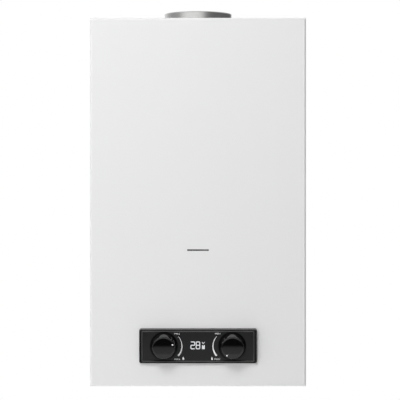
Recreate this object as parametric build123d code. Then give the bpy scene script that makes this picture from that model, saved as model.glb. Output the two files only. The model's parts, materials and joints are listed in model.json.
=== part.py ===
from build123d import *

import math
import os

# Wall-hung flow-through gas water heater with an open flue, battery ignition and two rotary controls.
# Millimetres. Origin on the wall plane, midway between the two hanging keyholes.
# +X is to the right seen from the front, +Y goes into the wall, +Z is up.

# Cover and back plate
BODY_W = 340.0
BODY_H = 580.0
BODY_D = 160.0
SHEET = 0.8
BEND_R = 4.0
WALL_GAP = 2.0
HANG_DROP = 62.0
FIT_GAP = 0.3
PLATE_T = 1.0
PLATE_BEND = 2.0
FLANGE_D = 14.0
BOTTOM_LIP = 60.0
BAY_EDGE = 5.0
VENT_COUNT = 13
VENT_PITCH = 22.0
VENT_L = 34.0
VENT_W = 4.5

# Wall fixings and cover screws
HANG_SPACING = 220.0
KEY_R = 3.0
KEY_HEAD_R = 6.5
KEY_DROP = 13.0
LOWER_EDGE = 30.0
LOWER_LIFT = 105.0
LOWER_HOLE_R = 3.25
RIB_EDGE = 25.0
RIB_L = 190.0
RIB_W = 15.0
RIB_H = 4.0
RIB_LIFT = 345.0
SCREW_R = 1.9
SCREW_HEAD_H = 1.8
SCREW_L = 9.0
SCREW_GAP = 0.2
COVER_SCREW_LIFT = 92.0
SCREW_HEAD = 8.0
SCREW_SIDES = 6

# Flue collar and draught hood
FLUE_PIPE = 110.0
FLUE_PLAY = 0.3
FLUE_WALL = 1.0
FLUE_RISE = 13.5
NOTCH_GAP = 4.0
HOOD_DROP = 14.0
HOOD_TOP_W = 126.0
HOOD_SKIRT = 10.0
SPILL_W = 70.0
SPILL_H = 16.0

# Copper heat exchanger
HX_W = 212.0
HX_D = 120.0
HX_R = 8.0
COPPER = 1.0
CHAMBER_LIFT = 190.0
CHAMBER_H = 242.0
FIN_COUNT = 15
FIN_PITCH = 13.5
FIN_T = 0.8
FIN_H = 54.0
FIN_TOP_GAP = 8.0
TUBE_R = 6.0
TUBE_BEND = 14.0
BEND_REST = 4.0
LOOP_GAP = 0.8
TUBE_GAP = 0.15
TUBE_STUB = 2.0
LOOP_LIFT = 252.0
JOINT_LIFT = 112.0
PIPE_SIDES = 12
BORE_SIDES = 24
BEND_STEPS = 3
NUT_ACROSS = 20.0
NUT_H = 9.0

# Burner
BURNER_LIFT = 128.0
FRAME_T = 1.2
LEDGE_W = 7.0
LEDGE_RISE = 4.0
BAR_COUNT = 10
BAR_PITCH = 20.0
BAR_W = 9.0
BAR_H = 50.0
BAR_WALL = 0.8
BAR_SHOULDER = 8.0
BAR_TOP_W = 5.0
PORT_COUNT = 4
PORT_PITCH = 27.0
PORT_W = 2.2
PORT_L = 21.0
MANIFOLD = 12.0
MANIFOLD_RISE = 11.5
NOZZLE_ACROSS = 6.0
MOUTH_ACROSS = 9.0
NOZZLE_GAP = 3.0
NOZZLE_REACH = 2.0
THROAT_ACROSS = 6.5
GAS_PIPE_R = 6.0
GAS_PIPE_BEND = 10.0

# Control panel, knobs and sight slot
PANEL_W = 185.0
PANEL_H = 54.5
PANEL_LIFT = 64.5
PANEL_PROUD = 6.0
PANEL_SLOPE = 2.5
PANEL_CORNER = 3.5
RIM_CREST = 0.6
RIM_BEVEL = 1.8
RIM_STEP = 1.0
PANEL_LAP = 6.0
PLUG_D = 10.0
PLUG_WALL = 2.0
FASCIA_T = 2.0
FLOOR_T = 1.2
SNAP_L = 16.0
SNAP_PROUD = 1.2
SNAP_H = 3.0
SNAP_X = 60.0
KNOB_SPACING = 107.0
KNOB_BASE_R = 21.7
KNOB_FACE_R = 17.3
KNOB_H = 26.0
KNOB_EDGE = 1.6
KNOB_WALL = 2.2
KNOB_ROOF = 4.0
KNOB_BORE = 15.0
KNOB_LIFT = 0.4
WELL_R = 23.0
WELL_DEEP = 0.6
HUB_R = 7.5
HUB_L = 14.0
HUB_GAP = 1.5
DOT_R = 1.0
DOT_DEEP = 0.3
DOT_ORBIT = 14.4
GAS_DOT_DEG = 27.0
WATER_DOT_DEG = 231.0
SIGHT_W = 34.5
SIGHT_H = 2.6
SIGHT_LIFT = 214.5
GLASS_MARGIN = 5.0
GLASS_T = 1.0
CLIP_MARGIN = 5.0
FLAME_HOLE_H = 9.0

# Display behind the panel
BOARD_W = 84.0
BOARD_H = 34.0
BOARD_T = 1.6
MODULE_W = 38.0
MODULE_H = 20.0
MODULE_T = 6.0
BOSS_W = 5.0
BOSS_INSET = 5.0

# Valves
SPINDLE_R = 4.0
SPINDLE_FLAT = 3.0
RUN_GAP = 0.05
BUSH_ACROSS = 18.0
BUSH_L = 14.0
SPINDLE_SINK = 24.0
GAS_W = 50.0
GAS_D = 60.0
GAS_H = 56.0
GAS_CORNER = 5.0
COIL_R = 11.0
COIL_H = 22.0
COIL_INSET = 14.0
BARREL_R = 26.0
BARREL_LEFT = 8.0
BARREL_RIGHT = 26.0
RING_ACROSS = 68.0
RING_SIDES = 8
RING_T = 6.0
DIAPHRAGM_T = 1.5
DOME_R = 22.0
DOME_L = 12.0
GUIDE_R = 7.0
GUIDE_L = 12.0
RING_SCREWS = 4
RING_SCREW_PCD = 60.0
RING_SCREW_R = 2.0
RING_HEAD = 6.5
RING_HEAD_H = 3.0
OUTLET_R = 9.0
OUTLET_L = 13.0
RELIEF_ACROSS = 11.0
RELIEF_TIP_R = 4.0
RELIEF_TIP_L = 4.0
RELIEF_L = 14.0
RELIEF_DROP = 17.0
ROD_R = 2.5
ROD_SINK = 12.0
ROD_TRAVEL = 4.0
MAGNET_R = 6.0
MAGNET_L = 5.0
SWITCH_W = 20.0
SWITCH_H = 14.0
SWITCH_GAP = 3.0
VALVE_STAND = 36.0

# Brackets to the back plate
BRACKET_T = 1.5
BRACKET_H = 26.0
BRACKET_FOOT = 10.0
HX_BRACKET_L = 150.0
BOX_CLEAR = 4.8
UPPER_BRACKET_LIFT = 350.0
BURNER_BRACKET_LIFT = 160.0

# Threaded connections under the heater
THREAD_R = 10.478
STUB_DROP = 10.0
STUB_BORE_R = 7.5
UNION_LIFT = 4.0
UNION_HEX = 24.0
INLET_BOSS_R = 13.0
INLET_BOSS_H = 4.0
COLD_OFFSET = 10.0
HOT_UNION_TOP = 20.0

# Ignition and sensors
CONTROLLER_CLEAR = 18.2
CONTROLLER_D = 30.0
CONTROLLER_H = 90.0
CONTROLLER_EDGE = 2.0
CONTROLLER_LIFT = 132.0
SIDE_ROOM = 5.0
INSULATOR_R = 3.5
INSULATOR_OUT = 12.0
INSULATOR_IN = 10.0
COLLET_R = 5.5
COLLET_L = 3.0
ELECTRODE_R = 1.0
ELECTRODE_L = 24.0
ELECTRODE_LIFT = 204.0
SPARK_Y = -20.0
SENSOR_Y = 10.0
LEAD_R = 2.0
LEAD_SIDES = 6
LEAD_BEND = 8.0
CUTOUT_R = 8.0
CUTOUT_H = 6.0
CUTOUT_LIFT = 330.0
TERMINAL_W = 3.0
TERMINAL_T = 0.8
SENSOR_W = 12.0
SENSOR_H = 18.0
SENSOR_D = 5.0
SENSOR_LIFT = 300.0

# Battery compartment
CELL_R = 16.6
CELL_L = 60.0
CELL_NUB_R = 4.5
CELL_NUB_H = 1.5
CELL_GAP = 1.0
BOX_WALL = 2.0
CONTACT_T = 0.5
DOOR_T = 2.5
DOOR_AXIS_LIFT = 3.5
BARREL_WALL = 1.4
PIN_R = 1.2
LATCH_W = 14.0
LATCH_H = 6.0

# Places worked out from the sizes above
Z_TOP = HANG_DROP
Z_BOT = Z_TOP - BODY_H
Y_FRONT = -BODY_D
Y_INSIDE = Y_FRONT + SHEET
X_INSIDE = BODY_W / 2 - SHEET
FLUE_Y = -BODY_D / 2
FLUE_R = FLUE_PIPE / 2 - FLUE_PLAY
Z_HOOD_TOP = Z_TOP - HOOD_DROP
Z_PANEL = Z_BOT + PANEL_LIFT
Z_SIGHT = Z_BOT + SIGHT_LIFT
Z_CHAMBER = Z_BOT + CHAMBER_LIFT
Z_CHAMBER_TOP = Z_CHAMBER + CHAMBER_H
Z_FINS = Z_CHAMBER_TOP - FIN_TOP_GAP - FIN_H / 2
Z_BURNER = Z_BOT + BURNER_LIFT
Z_JOINT = Z_BOT + JOINT_LIFT
Y_HX_FRONT = FLUE_Y - HX_D / 2
Y_HX_REAR = FLUE_Y + HX_D / 2
PASS_PITCH = 2 * TUBE_BEND + BEND_REST
PASS_YS = [FLUE_Y - PASS_PITCH, FLUE_Y, FLUE_Y + PASS_PITCH]
X_JOIN = HX_W / 2 + TUBE_STUB
X_LOOP = HX_W / 2 + TUBE_R + LOOP_GAP
X_RISE = X_JOIN + TUBE_BEND + BEND_REST
Y_LOOP = Y_HX_FRONT - TUBE_R - LOOP_GAP
BAR_XS = [(i - (BAR_COUNT - 1) / 2) * BAR_PITCH for i in range(BAR_COUNT)]
Z_LEDGE = Z_BURNER + LEDGE_RISE + FRAME_T
Z_NOZZLE = Z_BURNER + MANIFOLD_RISE
Y_MANIFOLD = Y_HX_FRONT - NOZZLE_GAP - MANIFOLD / 2
X_GAS = -KNOB_SPACING / 2
X_WATER = KNOB_SPACING / 2
X_COLD = X_WATER + COLD_OFFSET
CUT_W = PANEL_W - 2 * PANEL_LAP
CUT_H = PANEL_H - 2 * PANEL_LAP
FASCIA_FRONT = PANEL_PROUD - RIM_STEP
FASCIA_BACK = FASCIA_FRONT - FASCIA_T
FLOOR_BACK = FASCIA_BACK - FLOOR_T
RIM_IN = PANEL_SLOPE + RIM_CREST + RIM_BEVEL
BOARD_FRONT = FASCIA_BACK - MODULE_T
BOSS_SPOTS = [(sx * (BOARD_W / 2 - BOSS_INSET), sy * (BOARD_H / 2 - BOSS_INSET))
              for sx in (-1, 1) for sy in (-1, 1)]
KNOB_SEAT = FASCIA_FRONT - WELL_DEEP + KNOB_LIFT
RIB_SPACING = BODY_W - 2 * RIB_EDGE
LOWER_SPACING = BODY_W - 2 * LOWER_EDGE
Y_SCREW = -(WALL_GAP + FLANGE_D) / 2
Z_SCREW = Z_BOT + COVER_SCREW_LIFT
Y_BUSH = FLUE_Y - GAS_D / 2 - BUSH_L
Y_SPINDLE_END = Y_BUSH + SPINDLE_SINK
Y_WEB = FLUE_Y + VALVE_STAND
X_RING = X_WATER - BARREL_LEFT
X_DIAPHRAGM = X_RING - RING_T
X_COVER = X_DIAPHRAGM - DIAPHRAGM_T
X_DOME = X_COVER - RING_T
X_GUIDE = X_DOME - DOME_L
X_OUTLET = X_WATER + BARREL_RIGHT + OUTLET_L
X_GAS_FACE = X_GAS + GAS_W / 2
X_CONTROLLER = -X_INSIDE + SIDE_ROOM
CONTROLLER_W = -HX_W / 2 - CONTROLLER_CLEAR - X_CONTROLLER
Y_CONTROLLER = -PLATE_T - CONTROLLER_D
LEAD_XS = [X_CONTROLLER + CONTROLLER_W * share / 4 for share in (1, 2, 3)]
LEAD_YS = [Y_CONTROLLER + CONTROLLER_D * share / 4 for share in (1, 2, 3)]
Z_CONTROLLER = Z_BOT + CONTROLLER_LIFT
Z_ELECTRODE = Z_BOT + ELECTRODE_LIFT
X_BOX = -X_INSIDE + SIDE_ROOM
BOX_W = 4 * CELL_R + 3 * CELL_GAP + 2 * BOX_WALL
BOX_D = 2 * CELL_R + 2 * CELL_GAP + 2 * BOX_WALL
Y_BOX = -PLATE_T - BOX_D
VALVE_BRACKET_L = 2 * (-X_BOX - BOX_W - BOX_CLEAR)
Z_DOOR_AXIS = Z_BOT + DOOR_AXIS_LIFT
DOOR_BARREL_R = PIN_R + BARREL_WALL
Z_BOX = Z_DOOR_AXIS + DOOR_T / 2 + FIT_GAP
Z_CELL = Z_DOOR_AXIS + DOOR_BARREL_R + FIT_GAP
Z_CONTACT = Z_CELL + CELL_L + CELL_NUB_H + FIT_GAP
Z_BOX_TOP = Z_CONTACT + CONTACT_T + BOX_WALL
Y_DOOR_AXIS = -PLATE_T - DOOR_BARREL_R - FIT_GAP
OVER = 1.0


def block(x0, x1, y0, y1, z0, z1):
    """A box between two opposite corners."""
    return Pos((x0 + x1) / 2, (y0 + y1) / 2, (z0 + z1) / 2) * Box(x1 - x0, y1 - y0, z1 - z0)


def section(radius, sides):
    """A circle, or for hidden and repeated pieces the polygon of so many sides inside it."""
    return RegularPolygon(radius, sides) if sides else Circle(radius)


def bar_x(radius, x0, x1, y, z, sides=0):
    """A round bar along X."""
    return Pos(x0, y, z) * Rot(0, 90, 0) * extrude(section(radius, sides), x1 - x0)


def bar_y(radius, y0, y1, x, z, sides=0):
    """A round bar along Y."""
    return Pos(x, y1, z) * Rot(90, 0, 0) * extrude(section(radius, sides), y1 - y0)


def bar_z(radius, z0, z1, x, y, sides=0):
    """A round bar along Z."""
    return Pos(x, y, z0) * extrude(section(radius, sides), z1 - z0)


def flats(across, sides=6, turn=0):
    """A regular polygon of the given width across its flats."""
    return RegularPolygon(across / 2, sides, major_radius=False, rotation=turn)


def tube_hole(radius):
    """A few-sided hole that clears a tube of the given radius all round."""
    return flats(2 * (radius + TUBE_GAP), PIPE_SIDES)


def turned(*points):
    """A solid of revolution about local Z through (radius, height) points."""
    return revolve(make_face(Plane.XZ * Polyline(*points, close=True)), Axis.Z)


def facing(x, z, y):
    """A placement whose local axes are right, up and towards the viewer."""
    return Pos(x, y, z) * Rot(90, 0, 0)


def pipe(points, radius, bend, sides):
    """A pipe along straight runs, whose tangent bends are drawn as a few short chords."""
    course = FilletPolyline(*points, radius=bend)
    corners = [course @ 0]
    for run in course.edges():
        steps = BEND_STEPS if run.geom_type == GeomType.CIRCLE else 1
        corners += [run @ ((i + 1) / steps) for i in range(steps)]
    path = Polyline(*corners)
    start = Plane(origin=path @ 0, z_dir=path % 0)
    return sweep(start * section(radius, sides), path=path, transition=Transition.RIGHT)


def pan(width, height, depth, sheet, bend):
    """A folded sheet pan with its rim at local z 0 and its closed face at z depth."""
    outer = Pos(0, 0, depth / 2) * Box(width, height, depth)
    outer = fillet(outer.edges().group_by(Axis.Z)[-1], bend)
    hollow = Pos(0, 0, (depth - sheet) / 2) * Box(width - 2 * sheet, height - 2 * sheet, depth - sheet)
    hollow = fillet(hollow.edges().group_by(Axis.Z)[-1], bend - sheet)
    return outer - hollow


def front_cover():
    cover = facing(0, (Z_TOP + Z_BOT) / 2, -WALL_GAP) * pan(BODY_W, BODY_H, BODY_D - WALL_GAP, SHEET, BEND_R)
    cover -= extrude(facing(0, Z_PANEL, Y_FRONT) * Rectangle(CUT_W, CUT_H), 2 * SHEET, both=True)
    cover -= extrude(facing(0, Z_SIGHT, Y_FRONT) * SlotOverall(SIGHT_W, SIGHT_H), 2 * SHEET, both=True)
    notch = Circle(FLUE_R + NOTCH_GAP) + Pos(0, -FLUE_Y / 2) * Rectangle(2 * (FLUE_R + NOTCH_GAP), -FLUE_Y)
    cover -= extrude(Pos(0, FLUE_Y, Z_TOP) * notch, 2 * SHEET, both=True)
    cover -= block(-BODY_W / 2 + BAY_EDGE, BODY_W / 2 - BAY_EDGE, Y_FRONT + BOTTOM_LIP, 0,
                   Z_BOT - OVER, Z_BOT + 2 * SHEET)
    for i in range(VENT_COUNT):
        x = (i - (VENT_COUNT - 1) / 2) * VENT_PITCH
        vent = Pos(x, Y_FRONT + BOTTOM_LIP / 2, Z_BOT) * Rectangle(VENT_W, VENT_L)
        cover -= extrude(vent, 2 * SHEET, both=True)
    return cover - screw_way()


def screw_way():
    """The clearance for both cover screws, from one side of the heater to the other."""
    hole = flats(2 * (SCREW_R + SCREW_GAP))
    return Pos(-BODY_W, Y_SCREW, Z_SCREW) * Rot(0, 90, 0) * extrude(hole, 2 * BODY_W)


def bevelled(width, height, corner):
    """A rectangle with its corners cut off."""
    outline = Rectangle(width, height)
    return chamfer(outline.vertices(), corner)


def back_plate():
    width = BODY_W - 2 * (SHEET + FIT_GAP)
    top = Z_TOP - SHEET - FIT_GAP
    bottom = Z_BOT + SHEET + FIT_GAP
    trim = FLANGE_D
    height = top - bottom + trim
    place = Pos(0, -FLANGE_D, top - height / 2) * Rot(-90, 0, 0)
    plate = place * pan(width, height, FLANGE_D, PLATE_T, PLATE_BEND)
    plate -= block(-width, width, -FLANGE_D - OVER, OVER, bottom - 2 * trim, bottom)
    for side in (-1, 1):
        x = side * RIB_SPACING / 2
        rib = bevelled(RIB_W, RIB_L, RIB_W / 3)
        groove = bevelled(RIB_W - 2 * PLATE_T, RIB_L - 2 * PLATE_T, RIB_W / 3 - PLATE_T / 2)
        plate += extrude(facing(x, Z_BOT + RIB_LIFT, -PLATE_T) * rib, RIB_H)
        plate -= extrude(facing(x, Z_BOT + RIB_LIFT, 0) * groove, RIB_H)
        keyhole = (Circle(KEY_R) + Pos(0, -KEY_DROP / 2) * Rectangle(2 * KEY_R, KEY_DROP)
                   + Pos(0, -KEY_DROP) * Circle(KEY_HEAD_R))
        plate -= extrude(facing(side * HANG_SPACING / 2, 0, 0) * keyhole, 2 * PLATE_T, both=True)
        plate -= bar_y(LOWER_HOLE_R, -2 * PLATE_T, OVER, side * LOWER_SPACING / 2, Z_BOT + LOWER_LIFT)
    return plate - screw_way()


def cover_screws():
    screw = extrude(section(SCREW_R, SCREW_SIDES), SCREW_L)
    screw += Pos(0, 0, SCREW_L) * extrude(flats(SCREW_HEAD), SCREW_HEAD_H)
    place = BODY_W / 2 - SCREW_L
    return [Pos(side * place, Y_SCREW, Z_SCREW) * Rot(0, side * 90, 0) * screw for side in (-1, 1)]


def flue_collar():
    ring = Circle(FLUE_R) - Circle(FLUE_R - FLUE_WALL)
    return Pos(0, FLUE_Y, Z_HOOD_TOP) * extrude(ring, Z_TOP + FLUE_RISE - Z_HOOD_TOP)


def hood_shape(grow):
    """The draught hood's form, grown by the given amount on its sides and at its top."""
    low_w = HX_W + 2 * TUBE_GAP + 2 * grow
    deep = HX_D + 2 * TUBE_GAP + 2 * grow
    skirt_low = Z_CHAMBER_TOP - HOOD_SKIRT
    top = Z_HOOD_TOP - SHEET + grow
    skirt = block(-low_w / 2, low_w / 2, FLUE_Y - deep / 2, FLUE_Y + deep / 2, skirt_low, Z_CHAMBER_TOP)
    slope = loft([Pos(0, FLUE_Y, Z_CHAMBER_TOP) * Rectangle(low_w, deep),
                  Pos(0, FLUE_Y, top) * Rectangle(HOOD_TOP_W + 2 * grow, deep)], ruled=True)
    return skirt + slope


def draft_hood():
    hood = hood_shape(SHEET) - hood_shape(0)
    hood -= bar_z(FLUE_R - FLUE_WALL, Z_HOOD_TOP - 2 * SHEET, Z_HOOD_TOP + OVER, 0, FLUE_Y, BORE_SIDES)
    z = Z_CHAMBER_TOP + SPILL_H
    for side in (-1, 1):
        x = side * (HX_W + HOOD_TOP_W) / 4
        spread = HX_W / 4
        hood -= block(x - spread, x + spread, FLUE_Y - SPILL_W / 2, FLUE_Y + SPILL_W / 2, z, z + SPILL_H)
    return hood


def sensor_disc():
    """A bimetal disc thermostat standing on local z 0, with its two terminals."""
    disc = extrude(section(CUTOUT_R, PIPE_SIDES), CUTOUT_H)
    for side in (-1, 1):
        disc += Pos(side * CUTOUT_R / 2, 0, CUTOUT_H * 3 / 4) * Box(TERMINAL_W, TERMINAL_T, CUTOUT_H * 3 / 2)
    return disc


def flue_sensor():
    return facing(0, (Z_CHAMBER_TOP + Z_HOOD_TOP) / 2, Y_HX_FRONT - TUBE_GAP - SHEET) * sensor_disc()


def overheat_cutout():
    return Pos(HX_W / 2, FLUE_Y - PASS_PITCH / 2, Z_BOT + CUTOUT_LIFT) * Rot(0, 90, 0) * sensor_disc()


def chamber_ring(sheet):
    """The chamber's outline as a band of the given sheet thickness."""
    outer = RectangleRounded(HX_W, HX_D, HX_R)
    return outer - RectangleRounded(HX_W - 2 * sheet, HX_D - 2 * sheet, HX_R - sheet)


def chamber_shell():
    shell = Pos(0, FLUE_Y, Z_CHAMBER) * extrude(chamber_ring(COPPER), CHAMBER_H)
    for y in PASS_YS:
        shell -= Pos(-HX_W, y, Z_FINS) * Rot(0, 90, 0) * extrude(tube_hole(TUBE_R), 2 * HX_W)
    shell -= block(-SIGHT_W / 2, SIGHT_W / 2, Y_HX_FRONT - OVER, Y_HX_FRONT + 2 * COPPER,
                   Z_SIGHT - FLAME_HOLE_H / 2, Z_SIGHT + FLAME_HOLE_H / 2)
    for offset in (SPARK_Y, SENSOR_Y):
        hole = Pos(-HX_W, FLUE_Y + offset, Z_ELECTRODE) * Rot(0, 90, 0) * tube_hole(INSULATOR_R)
        shell -= extrude(hole, HX_W)
    return shell


def heat_fins():
    """Copper fins pierced by six-sided holes that touch the tube on six lines."""
    hole = flats(2 * (TUBE_R + TUBE_GAP))
    fin = Rectangle(HX_D - 2 * COPPER - 2 * FIT_GAP, FIN_H)
    for y in PASS_YS:
        fin -= Pos(y - FLUE_Y, 0) * hole
    plate = extrude(Plane.YZ * fin, FIN_T)
    first = -(FIN_COUNT - 1) / 2 * FIN_PITCH - FIN_T / 2
    return [Pos(first + i * FIN_PITCH, FLUE_Y, Z_FINS) * plate for i in range(FIN_COUNT)]


def copper_pipe(points):
    return pipe(points, TUBE_R, TUBE_BEND, PIPE_SIDES)


def fin_tubes():
    turn = X_JOIN + TUBE_BEND
    front, middle, rear = PASS_YS
    return copper_pipe([(-X_JOIN, front, Z_FINS), (turn, front, Z_FINS), (turn, middle, Z_FINS),
                        (-turn, middle, Z_FINS), (-turn, rear, Z_FINS), (X_JOIN, rear, Z_FINS)])


def chamber_coil():
    loop = Z_BOT + LOOP_LIFT
    front = PASS_YS[0]
    return copper_pipe([(X_LOOP, FLUE_Y, Z_JOINT), (X_LOOP, FLUE_Y, loop), (X_LOOP, Y_LOOP, loop),
                        (-X_RISE, Y_LOOP, loop), (-X_RISE, front, loop), (-X_RISE, front, Z_FINS),
                        (-X_JOIN, front, Z_FINS)])


def cold_riser():
    return copper_pipe([(X_OUTLET, FLUE_Y, Z_PANEL), (X_LOOP, FLUE_Y, Z_PANEL), (X_LOOP, FLUE_Y, Z_JOINT)])


def hot_pipe():
    rear = PASS_YS[2]
    return copper_pipe([(X_JOIN, rear, Z_FINS), (X_RISE, rear, Z_FINS),
                        (X_RISE, rear, Z_BOT + HOT_UNION_TOP)])


def pipe_nuts():
    ring = flats(NUT_ACROSS) - tube_hole(TUBE_R)
    short = X_LOOP - TUBE_BEND - X_OUTLET
    return [Pos(X_LOOP, FLUE_Y, Z_JOINT - NUT_H / 2) * extrude(ring, NUT_H),
            Pos(X_RISE, PASS_YS[2], Z_BOT + HOT_UNION_TOP) * extrude(ring, NUT_H),
            Pos(X_OUTLET, FLUE_Y, Z_PANEL) * Rot(0, 90, 0) * extrude(ring, min(short, NUT_H))]


def water_temp_sensor():
    x = X_RISE
    y = PASS_YS[2]
    z = Z_BOT + SENSOR_LIFT
    body = block(x - SENSOR_W / 2, x + SENSOR_W / 2, y, y + TUBE_R + SENSOR_D, z, z + SENSOR_H)
    return body - Pos(x, y, z - OVER) * extrude(tube_hole(TUBE_R), SENSOR_H + 2 * OVER)


def hat_bracket(length, z, web_y):
    """A pressed hat channel with its feet on the back plate and its web at web_y."""
    base = -PLATE_T
    channel = block(-length / 2, length / 2, web_y, web_y + BRACKET_T, z - BRACKET_H / 2, z + BRACKET_H / 2)
    for side in (-1, 1):
        edge = z + side * BRACKET_H / 2
        inner = edge - side * BRACKET_T
        toe = edge + side * BRACKET_FOOT
        channel += block(-length / 2, length / 2, web_y, base, min(edge, inner), max(edge, inner))
        channel += block(-length / 2, length / 2, base - BRACKET_T, base, min(toe, inner), max(toe, inner))
    return channel


def burner_frame():
    frame = Pos(0, FLUE_Y, Z_BURNER) * extrude(chamber_ring(FRAME_T), Z_CHAMBER - Z_BURNER)
    half = HX_W / 2 - HX_R
    for y0 in (Y_HX_FRONT + FRAME_T / 2, Y_HX_REAR - FRAME_T / 2 - LEDGE_W):
        frame += block(-half, half, y0, y0 + LEDGE_W, Z_LEDGE - FRAME_T, Z_LEDGE)
    for x in BAR_XS:
        mouth = facing(x, Z_NOZZLE, Y_HX_FRONT + 2 * FRAME_T) * flats(MOUTH_ACROSS)
        frame -= extrude(mouth, 4 * FRAME_T)
    return frame


def bar_section(inset):
    """A burner bar's upright section, drawn in from its outside by the sheet's thickness."""
    half = BAR_W / 2 - inset
    tip = BAR_TOP_W / 2 - inset
    low = inset
    high = BAR_H - inset
    shoulder = BAR_H - BAR_SHOULDER
    return make_face(Polyline((-half, low), (half, low), (half, shoulder), (tip, high), (-tip, high),
                              (-half, shoulder), close=True))


def burner_bars():
    """Folded sheet bars with a throat in front and a row of flame ports along the top."""
    long = HX_D - 2 * FRAME_T - 2 * FIT_GAP
    rear = FLUE_Y + long / 2
    bar = extrude(facing(0, Z_LEDGE, rear) * bar_section(0), long)
    bar -= extrude(facing(0, Z_LEDGE, rear - BAR_WALL) * bar_section(BAR_WALL), long - 2 * BAR_WALL)
    top = Z_LEDGE + BAR_H
    for i in range(PORT_COUNT):
        y = FLUE_Y + (i - (PORT_COUNT - 1) / 2) * PORT_PITCH
        bar -= block(-PORT_W / 2, PORT_W / 2, y - PORT_L / 2, y + PORT_L / 2, top - 2 * BAR_WALL, top + OVER)
    throat = facing(0, Z_NOZZLE, rear - long + 2 * BAR_WALL) * flats(THROAT_ACROSS)
    bar -= extrude(throat, 4 * BAR_WALL)
    return [Pos(x, 0, 0) * bar for x in BAR_XS]


def gas_manifold():
    half = BAR_XS[-1] + MANIFOLD
    tube = block(-half, half, Y_MANIFOLD - MANIFOLD / 2, Y_MANIFOLD + MANIFOLD / 2,
                 Z_NOZZLE - MANIFOLD / 2, Z_NOZZLE + MANIFOLD / 2)
    return chamfer(tube.edges().filter_by(Axis.X), MANIFOLD / 8)


def injectors():
    seat = Y_HX_FRONT - NOZZLE_GAP
    jet = extrude(flats(NOZZLE_ACROSS), NOZZLE_GAP)
    jet += Pos(0, 0, NOZZLE_GAP) * extrude(flats(NOZZLE_ACROSS / 2), NOZZLE_REACH)
    return [Pos(x, seat, Z_NOZZLE) * Rot(-90, 0, 0) * jet for x in BAR_XS]


def gas_riser():
    x = X_GAS + GAS_W / 4
    start = FLUE_Y - GAS_D / 4
    level = (Z_PANEL + GAS_H / 2 + Z_BURNER) / 2
    return pipe([(x, start, Z_PANEL + GAS_H / 2), (x, start, level), (x, Y_MANIFOLD, level),
                 (x, Y_MANIFOLD, Z_NOZZLE - MANIFOLD / 2)], GAS_PIPE_R, GAS_PIPE_BEND, PIPE_SIDES)


def gas_valve_body():
    body = block(X_GAS - GAS_W / 2, X_GAS_FACE, FLUE_Y - GAS_D / 2, FLUE_Y + VALVE_STAND,
                 Z_PANEL - GAS_H / 2, Z_PANEL + GAS_H / 2)
    body = chamfer(body.edges().filter_by(Axis.Z), GAS_CORNER)
    body += extrude(facing(X_GAS, Z_PANEL, FLUE_Y) * flats(BUSH_ACROSS), FLUE_Y - Y_BUSH)
    low = Z_PANEL - GAS_H / 2
    body += bar_z(INLET_BOSS_R, low - INLET_BOSS_H, low + OVER, X_GAS, FLUE_Y, PIPE_SIDES)
    body -= bar_y(SPINDLE_R + RUN_GAP, Y_BUSH - OVER, Y_SPINDLE_END + FIT_GAP, X_GAS, Z_PANEL)
    rod_end = X_GAS_FACE - ROD_SINK - 2 * ROD_TRAVEL
    return body - bar_x(ROD_R + RUN_GAP, rod_end, X_GAS_FACE + OVER, FLUE_Y, Z_PANEL)


def gas_solenoid():
    x = X_GAS - GAS_W / 2 + COIL_INSET
    base = Z_PANEL + GAS_H / 2
    return bar_z(COIL_R, base, base + COIL_H, x, Y_WEB - COIL_INSET, BORE_SIDES)


def pipe_union(x, y, top):
    """A nipple of hexagon bar with a threaded end below, hanging from what it is screwed into."""
    low = Z_BOT - STUB_DROP
    seat = Z_BOT + UNION_LIFT
    nipple = bar_z(THREAD_R, low, seat, x, y) + Pos(x, y, seat) * extrude(flats(UNION_HEX), top - seat)
    return nipple - bar_z(STUB_BORE_R, low - OVER, top + OVER, x, y, BORE_SIDES)


def gas_inlet_union():
    return pipe_union(X_GAS, FLUE_Y, Z_PANEL - GAS_H / 2 - INLET_BOSS_H)


def cold_inlet_union():
    return pipe_union(X_COLD, FLUE_Y, Z_PANEL - BARREL_R - INLET_BOSS_H)


def hot_outlet_union():
    return pipe_union(X_RISE, PASS_YS[2], Z_BOT + HOT_UNION_TOP)


def water_valve_body():
    end = X_WATER + BARREL_RIGHT
    body = bar_x(BARREL_R, X_RING, end, FLUE_Y, Z_PANEL, BORE_SIDES) + flange_plate(X_DIAPHRAGM, X_RING)
    body += bar_x(OUTLET_R, end, X_OUTLET, FLUE_Y, Z_PANEL, PIPE_SIDES)
    body += extrude(facing(X_WATER, Z_PANEL, FLUE_Y) * flats(BUSH_ACROSS), FLUE_Y - Y_BUSH)
    body += bar_z(INLET_BOSS_R, Z_PANEL - BARREL_R - INLET_BOSS_H, Z_PANEL, X_COLD, FLUE_Y, PIPE_SIDES)
    body += block(X_RING, end, FLUE_Y, Y_WEB, Z_PANEL - BRACKET_H / 2, Z_PANEL + BRACKET_H / 2)
    body -= bar_y(SPINDLE_R + RUN_GAP, Y_BUSH - OVER, Y_SPINDLE_END + FIT_GAP, X_WATER, Z_PANEL)
    return body


def ring_screw_spots():
    """Where the screws stand that clamp the diaphragm between its two flanges."""
    turns = [2 * math.pi * (i + 0.5) / RING_SCREWS for i in range(RING_SCREWS)]
    orbit = RING_SCREW_PCD / 2
    return [(FLUE_Y + orbit * math.cos(t), Z_PANEL + orbit * math.sin(t)) for t in turns]


def flange_plate(x0, x1):
    """One layer of the eight-sided diaphragm joint, pierced for its screws."""
    plate = flats(RING_ACROSS, RING_SIDES, turn=180 / RING_SIDES)
    for y, z in ring_screw_spots():
        plate -= Pos(Z_PANEL - z, y - FLUE_Y) * flats(2 * (RING_SCREW_R + TUBE_GAP))
    return Pos(x0, FLUE_Y, Z_PANEL) * Rot(0, 90, 0) * extrude(plate, x1 - x0)


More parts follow.
